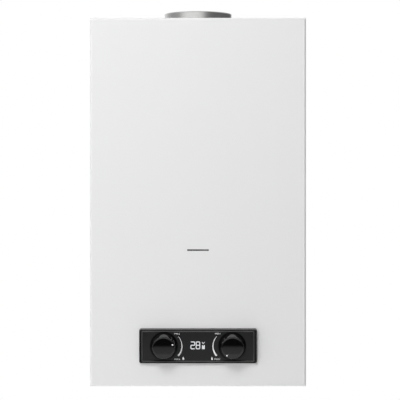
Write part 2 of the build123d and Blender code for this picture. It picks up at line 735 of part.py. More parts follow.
def water_valve_cover():
    cover = flange_plate(X_DOME, X_COVER) + bar_x(DOME_R, X_GUIDE, X_DOME, FLUE_Y, Z_PANEL, BORE_SIDES)
    cover += bar_x(GUIDE_R, X_GUIDE - GUIDE_L, X_GUIDE, FLUE_Y, Z_PANEL, PIPE_SIDES)
    return cover - bar_x(ROD_R + RUN_GAP, X_GUIDE - GUIDE_L - OVER, X_COVER + OVER, FLUE_Y, Z_PANEL)


def diaphragm():
    return flange_plate(X_COVER, X_DIAPHRAGM)


def diaphragm_screws():
    long = 2 * RING_T + DIAPHRAGM_T
    return [bar_x(RING_SCREW_R, X_DOME, X_DOME + long, y, z, SCREW_SIDES)
            + Pos(X_DOME, y, z) * Rot(0, -90, 0) * extrude(flats(RING_HEAD), RING_HEAD_H)
            for y, z in ring_screw_spots()]


def relief_valve():
    end = X_WATER + BARREL_RIGHT
    z = Z_PANEL - RELIEF_DROP
    cap = Pos(end, FLUE_Y, z) * Rot(0, 90, 0) * extrude(flats(RELIEF_ACROSS), RELIEF_L - RELIEF_TIP_L)
    return cap + bar_x(RELIEF_TIP_R, end + RELIEF_L - RELIEF_TIP_L, end + RELIEF_L, FLUE_Y, z, PIPE_SIDES)


def push_rod():
    rod = bar_x(ROD_R, X_GAS_FACE - ROD_SINK, X_COVER - FIT_GAP, FLUE_Y, Z_PANEL)
    middle = (X_GAS_FACE + X_GUIDE - GUIDE_L) / 2
    return rod + bar_x(MAGNET_R, middle - MAGNET_L / 2, middle + MAGNET_L / 2, FLUE_Y, Z_PANEL, PIPE_SIDES)


def flow_switch():
    middle = (X_GAS_FACE + X_GUIDE - GUIDE_L) / 2
    return block(middle - SWITCH_W / 2, middle + SWITCH_W / 2, FLUE_Y + MAGNET_R + SWITCH_GAP, Y_WEB,
                 Z_PANEL - SWITCH_H / 2, Z_PANEL + SWITCH_H / 2)


def spindle(x):
    """A valve spindle with a flat on the end that carries the knob."""
    tip = Y_FRONT - KNOB_SEAT - KNOB_BORE + FIT_GAP
    rod = bar_y(SPINDLE_R, tip, Y_SPINDLE_END, x, Z_PANEL)
    flat_end = Y_FRONT - KNOB_SEAT + HUB_L
    return rod - block(x - SPINDLE_R, x + SPINDLE_R, tip - OVER, flat_end,
                       Z_PANEL + SPINDLE_FLAT, Z_PANEL + SPINDLE_R + OVER)


def knob(x, dot_deg):
    """A hollow tapered knob on a hub, with a recess for its pointer dot."""
    body = turned((0, 0), (KNOB_BASE_R, 0), (KNOB_FACE_R, KNOB_H - KNOB_EDGE),
                  (KNOB_FACE_R - KNOB_EDGE, KNOB_H), (0, KNOB_H))
    roof = KNOB_H - KNOB_ROOF
    hub = section(HUB_R, BORE_SIDES)
    body -= Pos(0, 0, -OVER) * extrude(section(KNOB_FACE_R - KNOB_WALL, BORE_SIDES) - hub, roof + OVER)
    body += Pos(0, 0, -HUB_L) * extrude(hub, HUB_L + OVER)
    key_side = Pos(0, SPINDLE_FLAT + RUN_GAP - 2 * SPINDLE_R) * Rectangle(4 * SPINDLE_R, 4 * SPINDLE_R)
    keyed = Circle(SPINDLE_R + RUN_GAP) & key_side
    body -= Pos(0, 0, -HUB_L - OVER) * extrude(keyed, HUB_L + OVER + KNOB_BORE)
    turn = math.radians(dot_deg)
    spot = Pos(DOT_ORBIT * math.cos(turn), DOT_ORBIT * math.sin(turn), KNOB_H - DOT_DEEP)
    body -= spot * extrude(Circle(DOT_R), DOT_DEEP + OVER)
    return facing(x, Z_PANEL, Y_FRONT - KNOB_SEAT) * body


def rounded_slab(width, height, corner, low, high):
    """A rounded rectangle extruded between two levels in front of the cover's face."""
    return Pos(0, 0, low) * extrude(RectangleRounded(width, height, corner), high - low)


def panel_bezel():
    """The panel's frame: a sloped rim, a bevelled pocket for the fascia and a plug through the cover."""
    crest_w = PANEL_W - 2 * PANEL_SLOPE
    crest_h = PANEL_H - 2 * PANEL_SLOPE
    foot = RectangleRounded(PANEL_W, PANEL_H, PANEL_CORNER)
    crest = RectangleRounded(crest_w, crest_h, PANEL_CORNER - PANEL_SLOPE / 2)
    body = loft([foot, Pos(0, 0, PANEL_PROUD) * crest], ruled=True)
    lip = 2 * RIM_CREST
    body -= loft([Pos(0, 0, FASCIA_FRONT) * Rectangle(PANEL_W - 2 * RIM_IN, PANEL_H - 2 * RIM_IN),
                  Pos(0, 0, PANEL_PROUD) * Rectangle(crest_w - lip, crest_h - lip)], ruled=True)
    pocket = Rectangle(PANEL_W - 2 * RIM_IN, PANEL_H - 2 * RIM_IN)
    body -= Pos(0, 0, FASCIA_BACK) * extrude(pocket, PANEL_PROUD)
    plug_w = CUT_W - 2 * FIT_GAP
    plug_h = CUT_H - 2 * FIT_GAP
    body += rounded_slab(plug_w, plug_h, PLUG_WALL, -PLUG_D, FLOOR_BACK)
    body -= rounded_slab(plug_w - 2 * PLUG_WALL, plug_h - 2 * PLUG_WALL, PLUG_WALL / 2,
                         -PLUG_D - OVER, FLOOR_BACK)
    for x, y in BOSS_SPOTS:
        body += Pos(x, y, (BOARD_FRONT + FLOOR_BACK) / 2) * Box(BOSS_W, BOSS_W, FLOOR_BACK - BOARD_FRONT)
    window = Rectangle(MODULE_W + 2 * FIT_GAP, MODULE_H + 2 * FIT_GAP)
    body -= Pos(0, 0, FLOOR_BACK - OVER) * extrude(window, FASCIA_T + 2 * OVER)
    hub_hole = section(HUB_R + HUB_GAP, BORE_SIDES)
    for x in (X_GAS, X_WATER):
        body -= Pos(x, 0, FLOOR_BACK - OVER) * extrude(hub_hole, FASCIA_T + 2 * OVER)
    snap_top = -SHEET - FIT_GAP
    inner = plug_h / 2 - PLUG_WALL / 2
    outer = plug_h / 2 + SNAP_PROUD
    for sx in (-1, 1):
        for sy in (-1, 1):
            spot = Pos(sx * SNAP_X, sy * (inner + outer) / 2, snap_top - SNAP_H / 2)
            body += spot * Box(SNAP_L, outer - inner, SNAP_H)
    return facing(0, Z_PANEL, Y_FRONT) * body


def panel_fascia():
    inset = 2 * (RIM_IN + FIT_GAP)
    sheet = Rectangle(PANEL_W - inset, PANEL_H - inset)
    plate = Pos(0, 0, FASCIA_BACK) * extrude(sheet, FASCIA_T)
    for x in (X_GAS, X_WATER):
        plate -= Pos(x, 0, FASCIA_FRONT - WELL_DEEP) * extrude(Circle(WELL_R), FASCIA_T)
        plate -= Pos(x, 0, FASCIA_BACK - OVER) * extrude(section(HUB_R + HUB_GAP, BORE_SIDES), 2 * FASCIA_T)
    return facing(0, Z_PANEL, Y_FRONT) * plate


def display_module():
    body = Pos(0, 0, BOARD_FRONT + (MODULE_T - FIT_GAP) / 2) * Box(MODULE_W, MODULE_H, MODULE_T - FIT_GAP)
    return facing(0, Z_PANEL, Y_FRONT) * body


def display_board():
    board = Pos(0, 0, BOARD_FRONT - BOARD_T / 2) * Box(BOARD_W, BOARD_H, BOARD_T)
    return facing(0, Z_PANEL, Y_FRONT) * board


def sight_glass():
    wide = SIGHT_W + 2 * GLASS_MARGIN
    high = SIGHT_H + 2 * GLASS_MARGIN
    return block(-wide / 2, wide / 2, Y_INSIDE, Y_INSIDE + GLASS_T, Z_SIGHT - high / 2, Z_SIGHT + high / 2)


def sight_clip():
    """A thin frame that holds the sight glass against the inside of the cover."""
    wide = SIGHT_W + 2 * GLASS_MARGIN + 2 * FIT_GAP
    high = SIGHT_H + 2 * GLASS_MARGIN + 2 * FIT_GAP
    back = Y_INSIDE + GLASS_T + SHEET
    out_w = wide / 2 + CLIP_MARGIN
    clip = block(-out_w, out_w, Y_INSIDE, back, Z_SIGHT - high / 2 - SHEET, Z_SIGHT + high / 2 + SHEET)
    clip -= block(-wide / 2, wide / 2, Y_INSIDE - OVER, Y_INSIDE + GLASS_T,
                  Z_SIGHT - high / 2, Z_SIGHT + high / 2)
    clip -= block(-SIGHT_W / 2, SIGHT_W / 2, Y_INSIDE, back + OVER, Z_SIGHT - SIGHT_H, Z_SIGHT + SIGHT_H)
    return clip


def electrode_insulators():
    out = -HX_W / 2 - INSULATOR_OUT
    inner = -HX_W / 2 + INSULATOR_IN
    return [bar_x(INSULATOR_R, out, inner, FLUE_Y + offset, Z_ELECTRODE, PIPE_SIDES)
            + bar_x(COLLET_R, -HX_W / 2 - COLLET_L, -HX_W / 2, FLUE_Y + offset, Z_ELECTRODE, PIPE_SIDES)
            for offset in (SPARK_Y, SENSOR_Y)]


def electrode_rods():
    inner = -HX_W / 2 + INSULATOR_IN
    return [bar_x(ELECTRODE_R, inner, inner + ELECTRODE_L, FLUE_Y + offset, Z_ELECTRODE, LEAD_SIDES)
            for offset in (SPARK_Y, SENSOR_Y)]


def electrode_lead(offset, x):
    """A lead from the outer end of an electrode to the front of the controller."""
    y = FLUE_Y + offset
    return pipe([(-HX_W / 2 - INSULATOR_OUT, y, Z_ELECTRODE), (x, y, Z_ELECTRODE),
                 (x, Y_CONTROLLER, Z_ELECTRODE)], LEAD_R, LEAD_BEND, LEAD_SIDES)


def ignition_lead():
    return electrode_lead(SPARK_Y, LEAD_XS[0])


def sensor_lead():
    return electrode_lead(SENSOR_Y, LEAD_XS[2])


def solenoid_lead():
    side = X_GAS - GAS_W / 2 + COIL_INSET - COIL_R
    y = Y_WEB - COIL_INSET
    z = Z_PANEL + GAS_H / 2 + COIL_H / 2
    x = LEAD_XS[2]
    end = LEAD_YS[2]
    route = [(side, y, z), (x, y, z), (x, end, z), (x, end, Z_CONTROLLER)]
    return pipe(route, LEAD_R, LEAD_BEND, LEAD_SIDES)


def battery_lead():
    return bar_z(LEAD_R, Z_BOX_TOP, Z_CONTROLLER, LEAD_XS[0], LEAD_YS[0], LEAD_SIDES)


def display_lead():
    start = Y_FRONT - BOARD_FRONT + BOARD_T
    z = Z_PANEL + BOARD_H / 3
    aside = X_GAS - GAS_W / 2 - 2 * LEAD_BEND
    x = LEAD_XS[1]
    end = LEAD_YS[1]
    run = start + 2 * LEAD_BEND
    high = Z_CONTROLLER - 2 * LEAD_BEND
    return pipe([(0, start, z), (0, run, z), (aside, run, z), (aside, run, high), (x, end, high),
                 (x, end, Z_CONTROLLER)], LEAD_R, LEAD_BEND, LEAD_SIDES)


def ignition_controller():
    box = block(X_CONTROLLER, X_CONTROLLER + CONTROLLER_W, Y_CONTROLLER, -PLATE_T,
                Z_CONTROLLER, Z_CONTROLLER + CONTROLLER_H)
    return chamfer(box.faces().sort_by(Axis.Y)[0].edges(), CONTROLLER_EDGE)


def cell_spots():
    """Centres of the two cells, side by side across the compartment."""
    first = X_BOX + BOX_WALL + CELL_GAP + CELL_R
    return [(first + i * (2 * CELL_R + CELL_GAP), Y_BOX + BOX_D / 2) for i in range(2)]


def battery_box():
    box = block(X_BOX, X_BOX + BOX_W, Y_BOX, -PLATE_T, Z_BOX, Z_BOX_TOP)
    box -= block(X_BOX + BOX_WALL, X_BOX + BOX_W - BOX_WALL, Y_BOX + BOX_WALL, -PLATE_T - BOX_WALL,
                 Z_BOX - OVER, Z_BOX_TOP - BOX_WALL)
    reach = DOOR_BARREL_R + FIT_GAP
    box -= block(X_BOX + BOX_WALL, X_BOX + BOX_W - BOX_WALL, Y_DOOR_AXIS - reach, OVER - PLATE_T,
                 Z_BOX - OVER, Z_DOOR_AXIS + reach)
    for x in (X_BOX, X_BOX + BOX_W - BOX_WALL):
        box += block(x, x + BOX_WALL, Y_DOOR_AXIS - DOOR_BARREL_R, Y_DOOR_AXIS + DOOR_BARREL_R,
                     Z_DOOR_AXIS, Z_BOX + BOX_WALL)
        box += bar_x(DOOR_BARREL_R, x, x + BOX_WALL, Y_DOOR_AXIS, Z_DOOR_AXIS)
    return box - bar_x(PIN_R + RUN_GAP, X_BOX - OVER, X_BOX + BOX_W + OVER, Y_DOOR_AXIS, Z_DOOR_AXIS)


def battery_cells():
    return [bar_z(CELL_R, Z_CELL, Z_CELL + CELL_L, x, y, BORE_SIDES)
            + bar_z(CELL_NUB_R, Z_CELL + CELL_L, Z_CELL + CELL_L + CELL_NUB_H, x, y, PIPE_SIDES)
            for x, y in cell_spots()]


def battery_contacts():
    half = CELL_R / 2
    return [block(x - half, x + half, y - half, y + half, Z_CONTACT, Z_CONTACT + CONTACT_T)
            for x, y in cell_spots()]


def battery_door():
    left = X_BOX + BOX_WALL + FIT_GAP
    right = X_BOX + BOX_W - BOX_WALL - FIT_GAP
    front = Y_BOX - FIT_GAP
    leaf = block(left, right, front, Y_DOOR_AXIS, Z_DOOR_AXIS - DOOR_T / 2, Z_DOOR_AXIS + DOOR_T / 2)
    leaf += bar_x(DOOR_BARREL_R, left, right, Y_DOOR_AXIS, Z_DOOR_AXIS)
    pad = CELL_R / 2
    for x, y in cell_spots():
        leaf += block(x - pad, x + pad, y - pad, y + pad, Z_DOOR_AXIS, Z_CELL - FIT_GAP)
    middle = (left + right) / 2
    leaf += block(middle - LATCH_W / 2, middle + LATCH_W / 2, front - BOX_WALL, front,
                  Z_DOOR_AXIS - DOOR_T / 2, Z_BOX + LATCH_H)
    return leaf - bar_x(PIN_R + RUN_GAP, left - OVER, right + OVER, Y_DOOR_AXIS, Z_DOOR_AXIS)


def door_pin():
    return bar_x(PIN_R, X_BOX, X_BOX + BOX_W, Y_DOOR_AXIS, Z_DOOR_AXIS)


NODES = {
    "front_cover": front_cover,
    "back_plate": back_plate,
    "cover_screws": cover_screws,
    "flue_collar": flue_collar,
    "draft_hood": draft_hood,
    "flue_sensor": flue_sensor,
    "chamber_shell": chamber_shell,
    "heat_fins": heat_fins,
    "fin_tubes": fin_tubes,
    "chamber_coil": chamber_coil,
    "cold_riser": cold_riser,
    "hot_pipe": hot_pipe,
    "pipe_nuts": pipe_nuts,
    "overheat_cutout": overheat_cutout,
    "water_temp_sensor": water_temp_sensor,
    "upper_bracket": lambda: hat_bracket(HX_BRACKET_L, Z_BOT + UPPER_BRACKET_LIFT, Y_HX_REAR),
    "burner_bracket": lambda: hat_bracket(HX_BRACKET_L, Z_BOT + BURNER_BRACKET_LIFT, Y_HX_REAR),
    "valve_bracket": lambda: hat_bracket(VALVE_BRACKET_L, Z_PANEL, Y_WEB),
    "burner_frame": burner_frame,
    "burner_bars": burner_bars,
    "gas_manifold": gas_manifold,
    "injectors": injectors,
    "gas_riser": gas_riser,
    "gas_valve_body": gas_valve_body,
    "gas_solenoid": gas_solenoid,
    "gas_inlet_union": gas_inlet_union,
    "gas_spindle": lambda: spindle(X_GAS),
    "gas_knob": lambda: knob(X_GAS, GAS_DOT_DEG),
    "water_valve_body": water_valve_body,
    "water_valve_cover": water_valve_cover,
    "diaphragm": diaphragm,
    "diaphragm_screws": diaphragm_screws,
    "relief_valve": relief_valve,
    "cold_inlet_union": cold_inlet_union,
    "hot_outlet_union": hot_outlet_union,
    "push_rod": push_rod,
    "flow_switch": flow_switch,
    "water_spindle": lambda: spindle(X_WATER),
    "water_knob": lambda: knob(X_WATER, WATER_DOT_DEG),
    "electrode_insulators": electrode_insulators,
    "electrode_rods": electrode_rods,
    "ignition_lead": ignition_lead,
    "sensor_lead": sensor_lead,
    "solenoid_lead": solenoid_lead,
    "battery_lead": battery_lead,
    "display_lead": display_lead,
    "ignition_controller": ignition_controller,
    "battery_box": battery_box,
    "battery_cells": battery_cells,
    "battery_contacts": battery_contacts,
    "battery_door": battery_door,
    "door_pin": door_pin,
    "panel_bezel": panel_bezel,
    "panel_fascia": panel_fascia,
    "display_board": display_board,
    "display_module": display_module,
    "sight_glass": sight_glass,
    "sight_clip": sight_clip,
}


def main():
    os.makedirs("parts", exist_ok=True)
    for name, make in NODES.items():
        made = make()
        solids = [s for piece in (made if isinstance(made, list) else [made]) for s in piece.solids()]
        export_step(solids[0] if len(solids) == 1 else Compound(solids), f"parts/{name}.step")


main()
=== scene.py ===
import json
import math

import bmesh
import bpy
from mathutils import Matrix, Vector


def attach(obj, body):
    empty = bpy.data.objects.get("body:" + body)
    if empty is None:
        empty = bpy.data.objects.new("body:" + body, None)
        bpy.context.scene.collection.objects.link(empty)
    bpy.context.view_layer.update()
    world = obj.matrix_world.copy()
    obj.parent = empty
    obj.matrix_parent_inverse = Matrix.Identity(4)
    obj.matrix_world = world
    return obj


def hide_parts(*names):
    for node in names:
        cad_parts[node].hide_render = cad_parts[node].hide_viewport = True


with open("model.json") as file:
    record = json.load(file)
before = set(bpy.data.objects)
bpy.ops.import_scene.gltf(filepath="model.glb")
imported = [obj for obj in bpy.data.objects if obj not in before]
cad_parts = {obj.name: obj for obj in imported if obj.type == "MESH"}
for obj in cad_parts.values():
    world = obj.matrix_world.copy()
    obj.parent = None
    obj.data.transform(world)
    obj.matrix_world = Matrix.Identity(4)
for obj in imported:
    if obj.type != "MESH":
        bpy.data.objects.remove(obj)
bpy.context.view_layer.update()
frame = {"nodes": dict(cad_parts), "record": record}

MM = 0.001
NODES = frame["nodes"]
SLOTS = {row["node"]: row["material_slot"] for row in frame["record"]["subparts"]}
SCENE = bpy.context.scene

# Driving sizes and places in the CAD frame, in millimetres
COVER_W, COVER_H, COVER_D = 340.0, 580.0, 160.0
X_SIDE = COVER_W / 2
Y_FRONT = -COVER_D
Z_TOP = 62.0
Z_BOT = Z_TOP - COVER_H
FLUE_Y = Y_FRONT / 2
Z_PANEL = -453.5
Y_FASCIA = Y_FRONT - 5.0
Y_KNOB = Y_FASCIA + 0.2
X_KNOB = 53.5
SCREW_Y, SCREW_Z = -8.0, -426.0
FRONT_RUN, MID_RUN, BACK_RUN = -112.0, -80.0, -48.0
HOT_X, HOT_SEAT = 126.0, -498.0


# Shader helpers, for a material or the world

COLOUR_A, COLOUR_B, COLOUR_OUT = 6, 7, 2


def grey(level):
    return (level, level, level)


def principled(mat):
    return mat.node_tree.nodes["Principled BSDF"]


def surface(name, colour, rough, metal=0.0, **constants):
    """A Principled material with its plain values set on the shader's own sockets."""
    mat = bpy.data.materials.new(name)
    mat.use_nodes = True
    shader = principled(mat)
    shader.inputs["Base Color"].default_value = (*colour, 1.0)
    shader.inputs["Roughness"].default_value = rough
    shader.inputs["Metallic"].default_value = metal
    for socket, value in constants.items():
        shader.inputs[socket.replace("_", " ")].default_value = value
    return mat


def node(owner, kind, **values):
    """A new node, with its inputs and settings given by name."""
    made = owner.node_tree.nodes.new(kind)
    for key, value in values.items():
        if key in made.inputs:
            made.inputs[key].default_value = value
        else:
            setattr(made, key, value)
    return made


def join(owner, value, socket):
    """Links an output to a socket, or sets the socket to a plain number."""
    if isinstance(value, (int, float)):
        socket.default_value = value
    else:
        owner.node_tree.links.new(value, socket)


def maths(owner, operation, *terms):
    made = node(owner, "ShaderNodeMath", operation=operation)
    for socket, term in zip(made.inputs, terms):
        join(owner, term, socket)
    return made.outputs[0]


def place(mat, stretch=(1.0, 1.0, 1.0), turn=(0.0, 0.0, 0.0)):
    """Object coordinates in metres, stretched along the axes and turned about them."""
    coords = node(mat, "ShaderNodeTexCoord")
    mapping = node(mat, "ShaderNodeMapping", Scale=stretch, Rotation=turn)
    join(mat, coords.outputs["Object"], mapping.inputs["Vector"])
    return mapping.outputs["Vector"]


def noise(mat, vector, size_mm, detail=3.0, output="Fac"):
    made = node(mat, "ShaderNodeTexNoise", Scale=1.0 / (size_mm * MM), Detail=detail)
    join(mat, vector, made.inputs["Vector"])
    return made.outputs[output]


def spread(owner, value, low, high, start=0.3, end=0.7, curve="LINEAR"):
    """Maps a value between start and end, the usual range of noise, to the range low to high."""
    made = node(owner, "ShaderNodeMapRange", interpolation_type=curve)
    for socket, number in (("From Min", start), ("From Max", end), ("To Min", low), ("To Max", high)):
        made.inputs[socket].default_value = number
    join(owner, value, made.inputs["Value"])
    return made.outputs["Result"]


def blend_colours(mat, factor, first, second):
    made = node(mat, "ShaderNodeMix", data_type="RGBA")
    made.inputs[COLOUR_A].default_value = (*first, 1.0)
    made.inputs[COLOUR_B].default_value = (*second, 1.0)
    join(mat, factor, made.inputs["Factor"])
    return made.outputs[COLOUR_OUT]


def relief(mat, height, strength, depth_mm):
    made = node(mat, "ShaderNodeBump", Strength=strength, Distance=depth_mm * MM)
    join(mat, height, made.inputs["Height"])
    join(mat, made.outputs["Normal"], principled(mat).inputs["Normal"])


def grained(name, base, shade, rough, grain, cloud, strength, depth, metal=0.0,
            stretch=(1.0, 1.0, 1.0), **constants):
    """A surface whose colour, gloss and relief follow a fine grain and broad clouds, in millimetres."""
    fine_share, broad_share, broad_detail = 0.45, 0.55, 2.0
    mat = surface(name, base, rough[0], metal, **constants)
    fine = noise(mat, place(mat, stretch), grain)
    broad = noise(mat, place(mat), cloud, broad_detail)
    pattern = maths(mat, "MULTIPLY_ADD", fine, fine_share, maths(mat, "MULTIPLY", broad, broad_share))
    colour = blend_colours(mat, spread(mat, pattern, 0.0, 1.0), base, shade)
    join(mat, colour, principled(mat).inputs["Base Color"])
    join(mat, spread(mat, pattern, *rough), principled(mat).inputs["Roughness"])
    relief(mat, fine, strength, depth)
    return mat


def spangled(name, base, shade, rough):
    """Zinc-coated sheet with its crystal pattern."""
    crystal, wave_size, wave_reach = 9.0, 12.0, 6.0
    grain, strength, depth = 0.8, 0.08, 0.02
    mat = surface(name, base, rough[0], 1.0)
    vector = place(mat)
    warped = node(mat, "ShaderNodeVectorMath", operation="MULTIPLY_ADD")
    join(mat, noise(mat, vector, wave_size, output="Color"), warped.inputs[0])
    warped.inputs[1].default_value = grey(wave_reach * MM)
    join(mat, vector, warped.inputs[2])
    cells = node(mat, "ShaderNodeTexVoronoi", Scale=1.0 / (crystal * MM))
    join(mat, warped.outputs[0], cells.inputs["Vector"])
    tone = node(mat, "ShaderNodeSeparateColor")
    join(mat, cells.outputs["Color"], tone.inputs["Color"])
    colour = blend_colours(mat, spread(mat, tone.outputs[0], 0.0, 1.0, 0.0, 1.0), base, shade)
    join(mat, colour, principled(mat).inputs["Base Color"])
    join(mat, spread(mat, tone.outputs[1], *rough, 0.0, 1.0), principled(mat).inputs["Roughness"])
    relief(mat, noise(mat, vector, grain), strength, depth)
    return mat


def banded(name, bands, rough, metal):
    """Rings of colour up the Z axis: (height in mm, colour) steps, each holding up to the next."""
    grain, strength, depth = 1.0, 0.05, 0.02
    mat = surface(name, bands[0][1], rough[0], metal)
    split = node(mat, "ShaderNodeSeparateXYZ")
    join(mat, place(mat), split.inputs["Vector"])
    low, high = bands[0][0], bands[-1][0] + 1.0
    position = spread(mat, split.outputs["Z"], 0.0, 1.0, low * MM, high * MM)
    ramp = node(mat, "ShaderNodeValToRGB")
    ramp.color_ramp.interpolation = "CONSTANT"
    stops = ramp.color_ramp.elements
    for i, (height, colour) in enumerate(bands):
        share = (height - low) / (high - low)
        stop = stops[i] if i < 2 else stops.new(share)
        stop.position = share
        stop.color = (*colour, 1.0)
    join(mat, position, ramp.inputs["Fac"])
    join(mat, ramp.outputs["Color"], principled(mat).inputs["Base Color"])
    fine = noise(mat, place(mat), grain)
    join(mat, spread(mat, fine, *rough), principled(mat).inputs["Roughness"])
    relief(mat, fine, strength, depth)
    return mat


def traced(name, board, track, rough):
    """A solder-masked board with faint tracks under the mask."""
    rows_per_metre, track_share, shade = 260.0, 0.06, 0.8
    grain, strength, depth = 0.6, 0.1, 0.03
    mat = surface(name, board, rough[0])
    bricks = node(mat, "ShaderNodeTexBrick", Scale=1.0)
    join(mat, place(mat, grey(rows_per_metre), (math.radians(90), 0, 0)), bricks.inputs["Vector"])
    bricks.inputs["Color1"].default_value = (*board, 1.0)
    bricks.inputs["Color2"].default_value = (*(shade * part for part in board), 1.0)
    bricks.inputs["Mortar"].default_value = (*track, 1.0)
    bricks.inputs["Mortar Size"].default_value = track_share
    join(mat, bricks.outputs["Color"], principled(mat).inputs["Base Color"])
    join(mat, spread(mat, noise(mat, place(mat), grain), *rough), principled(mat).inputs["Roughness"])
    relief(mat, bricks.outputs["Fac"], strength, depth)
    return mat


# Materials

GRAINED = {
    "white_enamel": dict(base=grey(0.80), shade=(0.785, 0.786, 0.788), rough=(0.30, 0.36),
                         grain=1.3, cloud=180.0, strength=0.06, depth=0.03),
    "flue_steel": dict(base=(0.70, 0.70, 0.69), shade=grey(0.60), rough=(0.24, 0.34), metal=1.0,
                       stretch=(0.05, 0.05, 1.6), grain=1.2, cloud=45.0, strength=0.12, depth=0.02),
    "stainless": dict(base=grey(0.58), shade=(0.47, 0.46, 0.45), rough=(0.25, 0.4), metal=1.0,
                      stretch=(1.0, 0.08, 1.0), grain=1.0, cloud=30.0, strength=0.1, depth=0.02),
    "copper": dict(base=(0.78, 0.40, 0.26), shade=(0.50, 0.24, 0.17), rough=(0.26, 0.46), metal=1.0,
                   grain=3.0, cloud=55.0, strength=0.08, depth=0.05),
    "brass": dict(base=(0.72, 0.55, 0.27), shade=(0.58, 0.42, 0.19), rough=(0.3, 0.46), metal=1.0,
                  grain=0.9, cloud=18.0, strength=0.2, depth=0.05),
    "aluminium": dict(base=(0.66, 0.67, 0.68), shade=(0.55, 0.56, 0.57), rough=(0.42, 0.58), metal=1.0,
                      grain=0.8, cloud=25.0, strength=0.3, depth=0.06),
    "panel_black": dict(base=(0.006, 0.006, 0.007), shade=(0.008, 0.008, 0.009), rough=(0.05, 0.08),
                        grain=6.0, cloud=70.0, strength=0.01, depth=0.01, Specular_IOR_Level=0.44),
    "knob_black": dict(base=grey(0.002), shade=grey(0.003), rough=(0.03, 0.045),
                       grain=2.0, cloud=20.0, strength=0.01, depth=0.01),
    "knob_side": dict(base=grey(0.002), shade=grey(0.003), rough=(0.05, 0.07),
                      grain=1.2, cloud=20.0, strength=0.02, depth=0.01, Specular_IOR_Level=0.1),
    "knob_foot": dict(base=grey(0.002), shade=grey(0.003), rough=(0.5, 0.6),
                      grain=0.6, cloud=20.0, strength=0.1, depth=0.02, Specular_IOR_Level=0.02),
    "frame_black": dict(base=grey(0.004), shade=grey(0.006), rough=(0.16, 0.22),
                        grain=0.8, cloud=30.0, strength=0.03, depth=0.01, Specular_IOR_Level=0.25),
    # A lighter, glossier copy of the rim's black for its upward faces: painted light from above
    "frame_gloss_painted_light": dict(base=(0.036, 0.036, 0.037), shade=(0.03, 0.03, 0.031), rough=(0.16, 0.22),
                        grain=0.8, cloud=30.0, strength=0.03, depth=0.01, Specular_IOR_Level=0.95),
    # The bead's dark grey is lighter than the rim's black: partly the bead's own colour, partly a painted
    # highlight along the rim's inner edge
    "trim_grey_painted_highlight": dict(base=(0.056, 0.056, 0.057), shade=(0.048, 0.048, 0.049), rough=(0.2, 0.26),
                       grain=0.8, cloud=30.0, strength=0.03, depth=0.01),
    "dark_plastic": dict(base=(0.03, 0.03, 0.033), shade=(0.022, 0.022, 0.024), rough=(0.42, 0.6),
                         grain=0.5, cloud=25.0, strength=0.35, depth=0.04),
    "white_plastic": dict(base=(0.72, 0.72, 0.70), shade=(0.66, 0.66, 0.63), rough=(0.4, 0.55),
                          grain=0.6, cloud=30.0, strength=0.25, depth=0.04),
    "ceramic": dict(base=(0.82, 0.80, 0.75), shade=(0.74, 0.71, 0.65), rough=(0.14, 0.26),
                    grain=0.9, cloud=8.0, strength=0.06, depth=0.02),
    "lead_red": dict(base=(0.42, 0.035, 0.03), shade=(0.34, 0.025, 0.022), rough=(0.4, 0.55),
                     grain=0.7, cloud=12.0, strength=0.12, depth=0.03),
    "lead_white": dict(base=(0.68, 0.67, 0.63), shade=(0.58, 0.57, 0.53), rough=(0.4, 0.55),
                       grain=0.7, cloud=12.0, strength=0.12, depth=0.03),
    "rubber": dict(base=grey(0.02), shade=grey(0.03), rough=(0.6, 0.75),
                   grain=0.6, cloud=15.0, strength=0.3, depth=0.04),
    "display_dark": dict(base=(0.006, 0.006, 0.007), shade=(0.009, 0.009, 0.01), rough=(0.06, 0.1),
                         grain=3.0, cloud=20.0, strength=0.01, depth=0.01),
    "sight_glass": dict(base=(0.34, 0.36, 0.35), shade=(0.30, 0.32, 0.31), rough=(0.12, 0.2), grain=4.0,
                        cloud=15.0, strength=0.02, depth=0.02, Transmission_Weight=0.7, IOR=1.47),
    "print_white": dict(base=grey(0.90), shade=grey(0.84), rough=(0.45, 0.55),
                        grain=0.3, cloud=3.0, strength=0.05, depth=0.01),
    "lit_segment": dict(base=grey(0.32), shade=(0.26, 0.26, 0.27), rough=(0.35, 0.45),
                        grain=0.4, cloud=3.0, strength=0.03, depth=0.01, Emission_Strength=0.5),
    "floor_paint": dict(base=grey(0.85), shade=grey(0.83), rough=(0.6, 0.7),
                        grain=4.0, cloud=400.0, strength=0.15, depth=0.05),
}
MATS = {name: grained(name, **look) for name, look in GRAINED.items()}
MATS["zinc_sheet"] = spangled("zinc_sheet", (0.60, 0.62, 0.63), (0.50, 0.52, 0.54), (0.34, 0.52))
MATS["board_green"] = traced("board_green", (0.02, 0.12, 0.05), (0.05, 0.22, 0.09), (0.28, 0.42))

# Cell jackets: a dark lower part, a copper-coloured upper part and a bare metal end
JACKET_BANDS = [(-520.0, (0.02, 0.022, 0.026)), (-470.0, (0.62, 0.36, 0.16)), (-452.6, grey(0.5))]
MATS["cell_jacket"] = banded("cell_jacket", JACKET_BANDS, (0.25, 0.35), 0.6)

# The lit segments glow a little unevenly
GLOW_BRIGHT, GLOW_SOFT, GLOW_SIZE = (0.98, 0.99, 1.0), (0.86, 0.9, 0.96), 2.2
lit = MATS["lit_segment"]
glow = blend_colours(lit, spread(lit, noise(lit, place(lit), GLOW_SIZE), 0.0, 1.0), GLOW_BRIGHT, GLOW_SOFT)
join(lit, glow, principled(lit).inputs["Emission Color"])


# Mesh helpers, in millimetres

WELD_DISTANCE = 1e-4


def facing(x, z, y):
    """A placement whose local axes are right, up and towards the viewer."""
    return Matrix(((1, 0, 0, x), (0, 0, -1, y), (0, 1, 0, z), (0, 0, 0, 1)))


def upright(x, y, z=0.0):
    return Matrix.Translation((x, y, z))


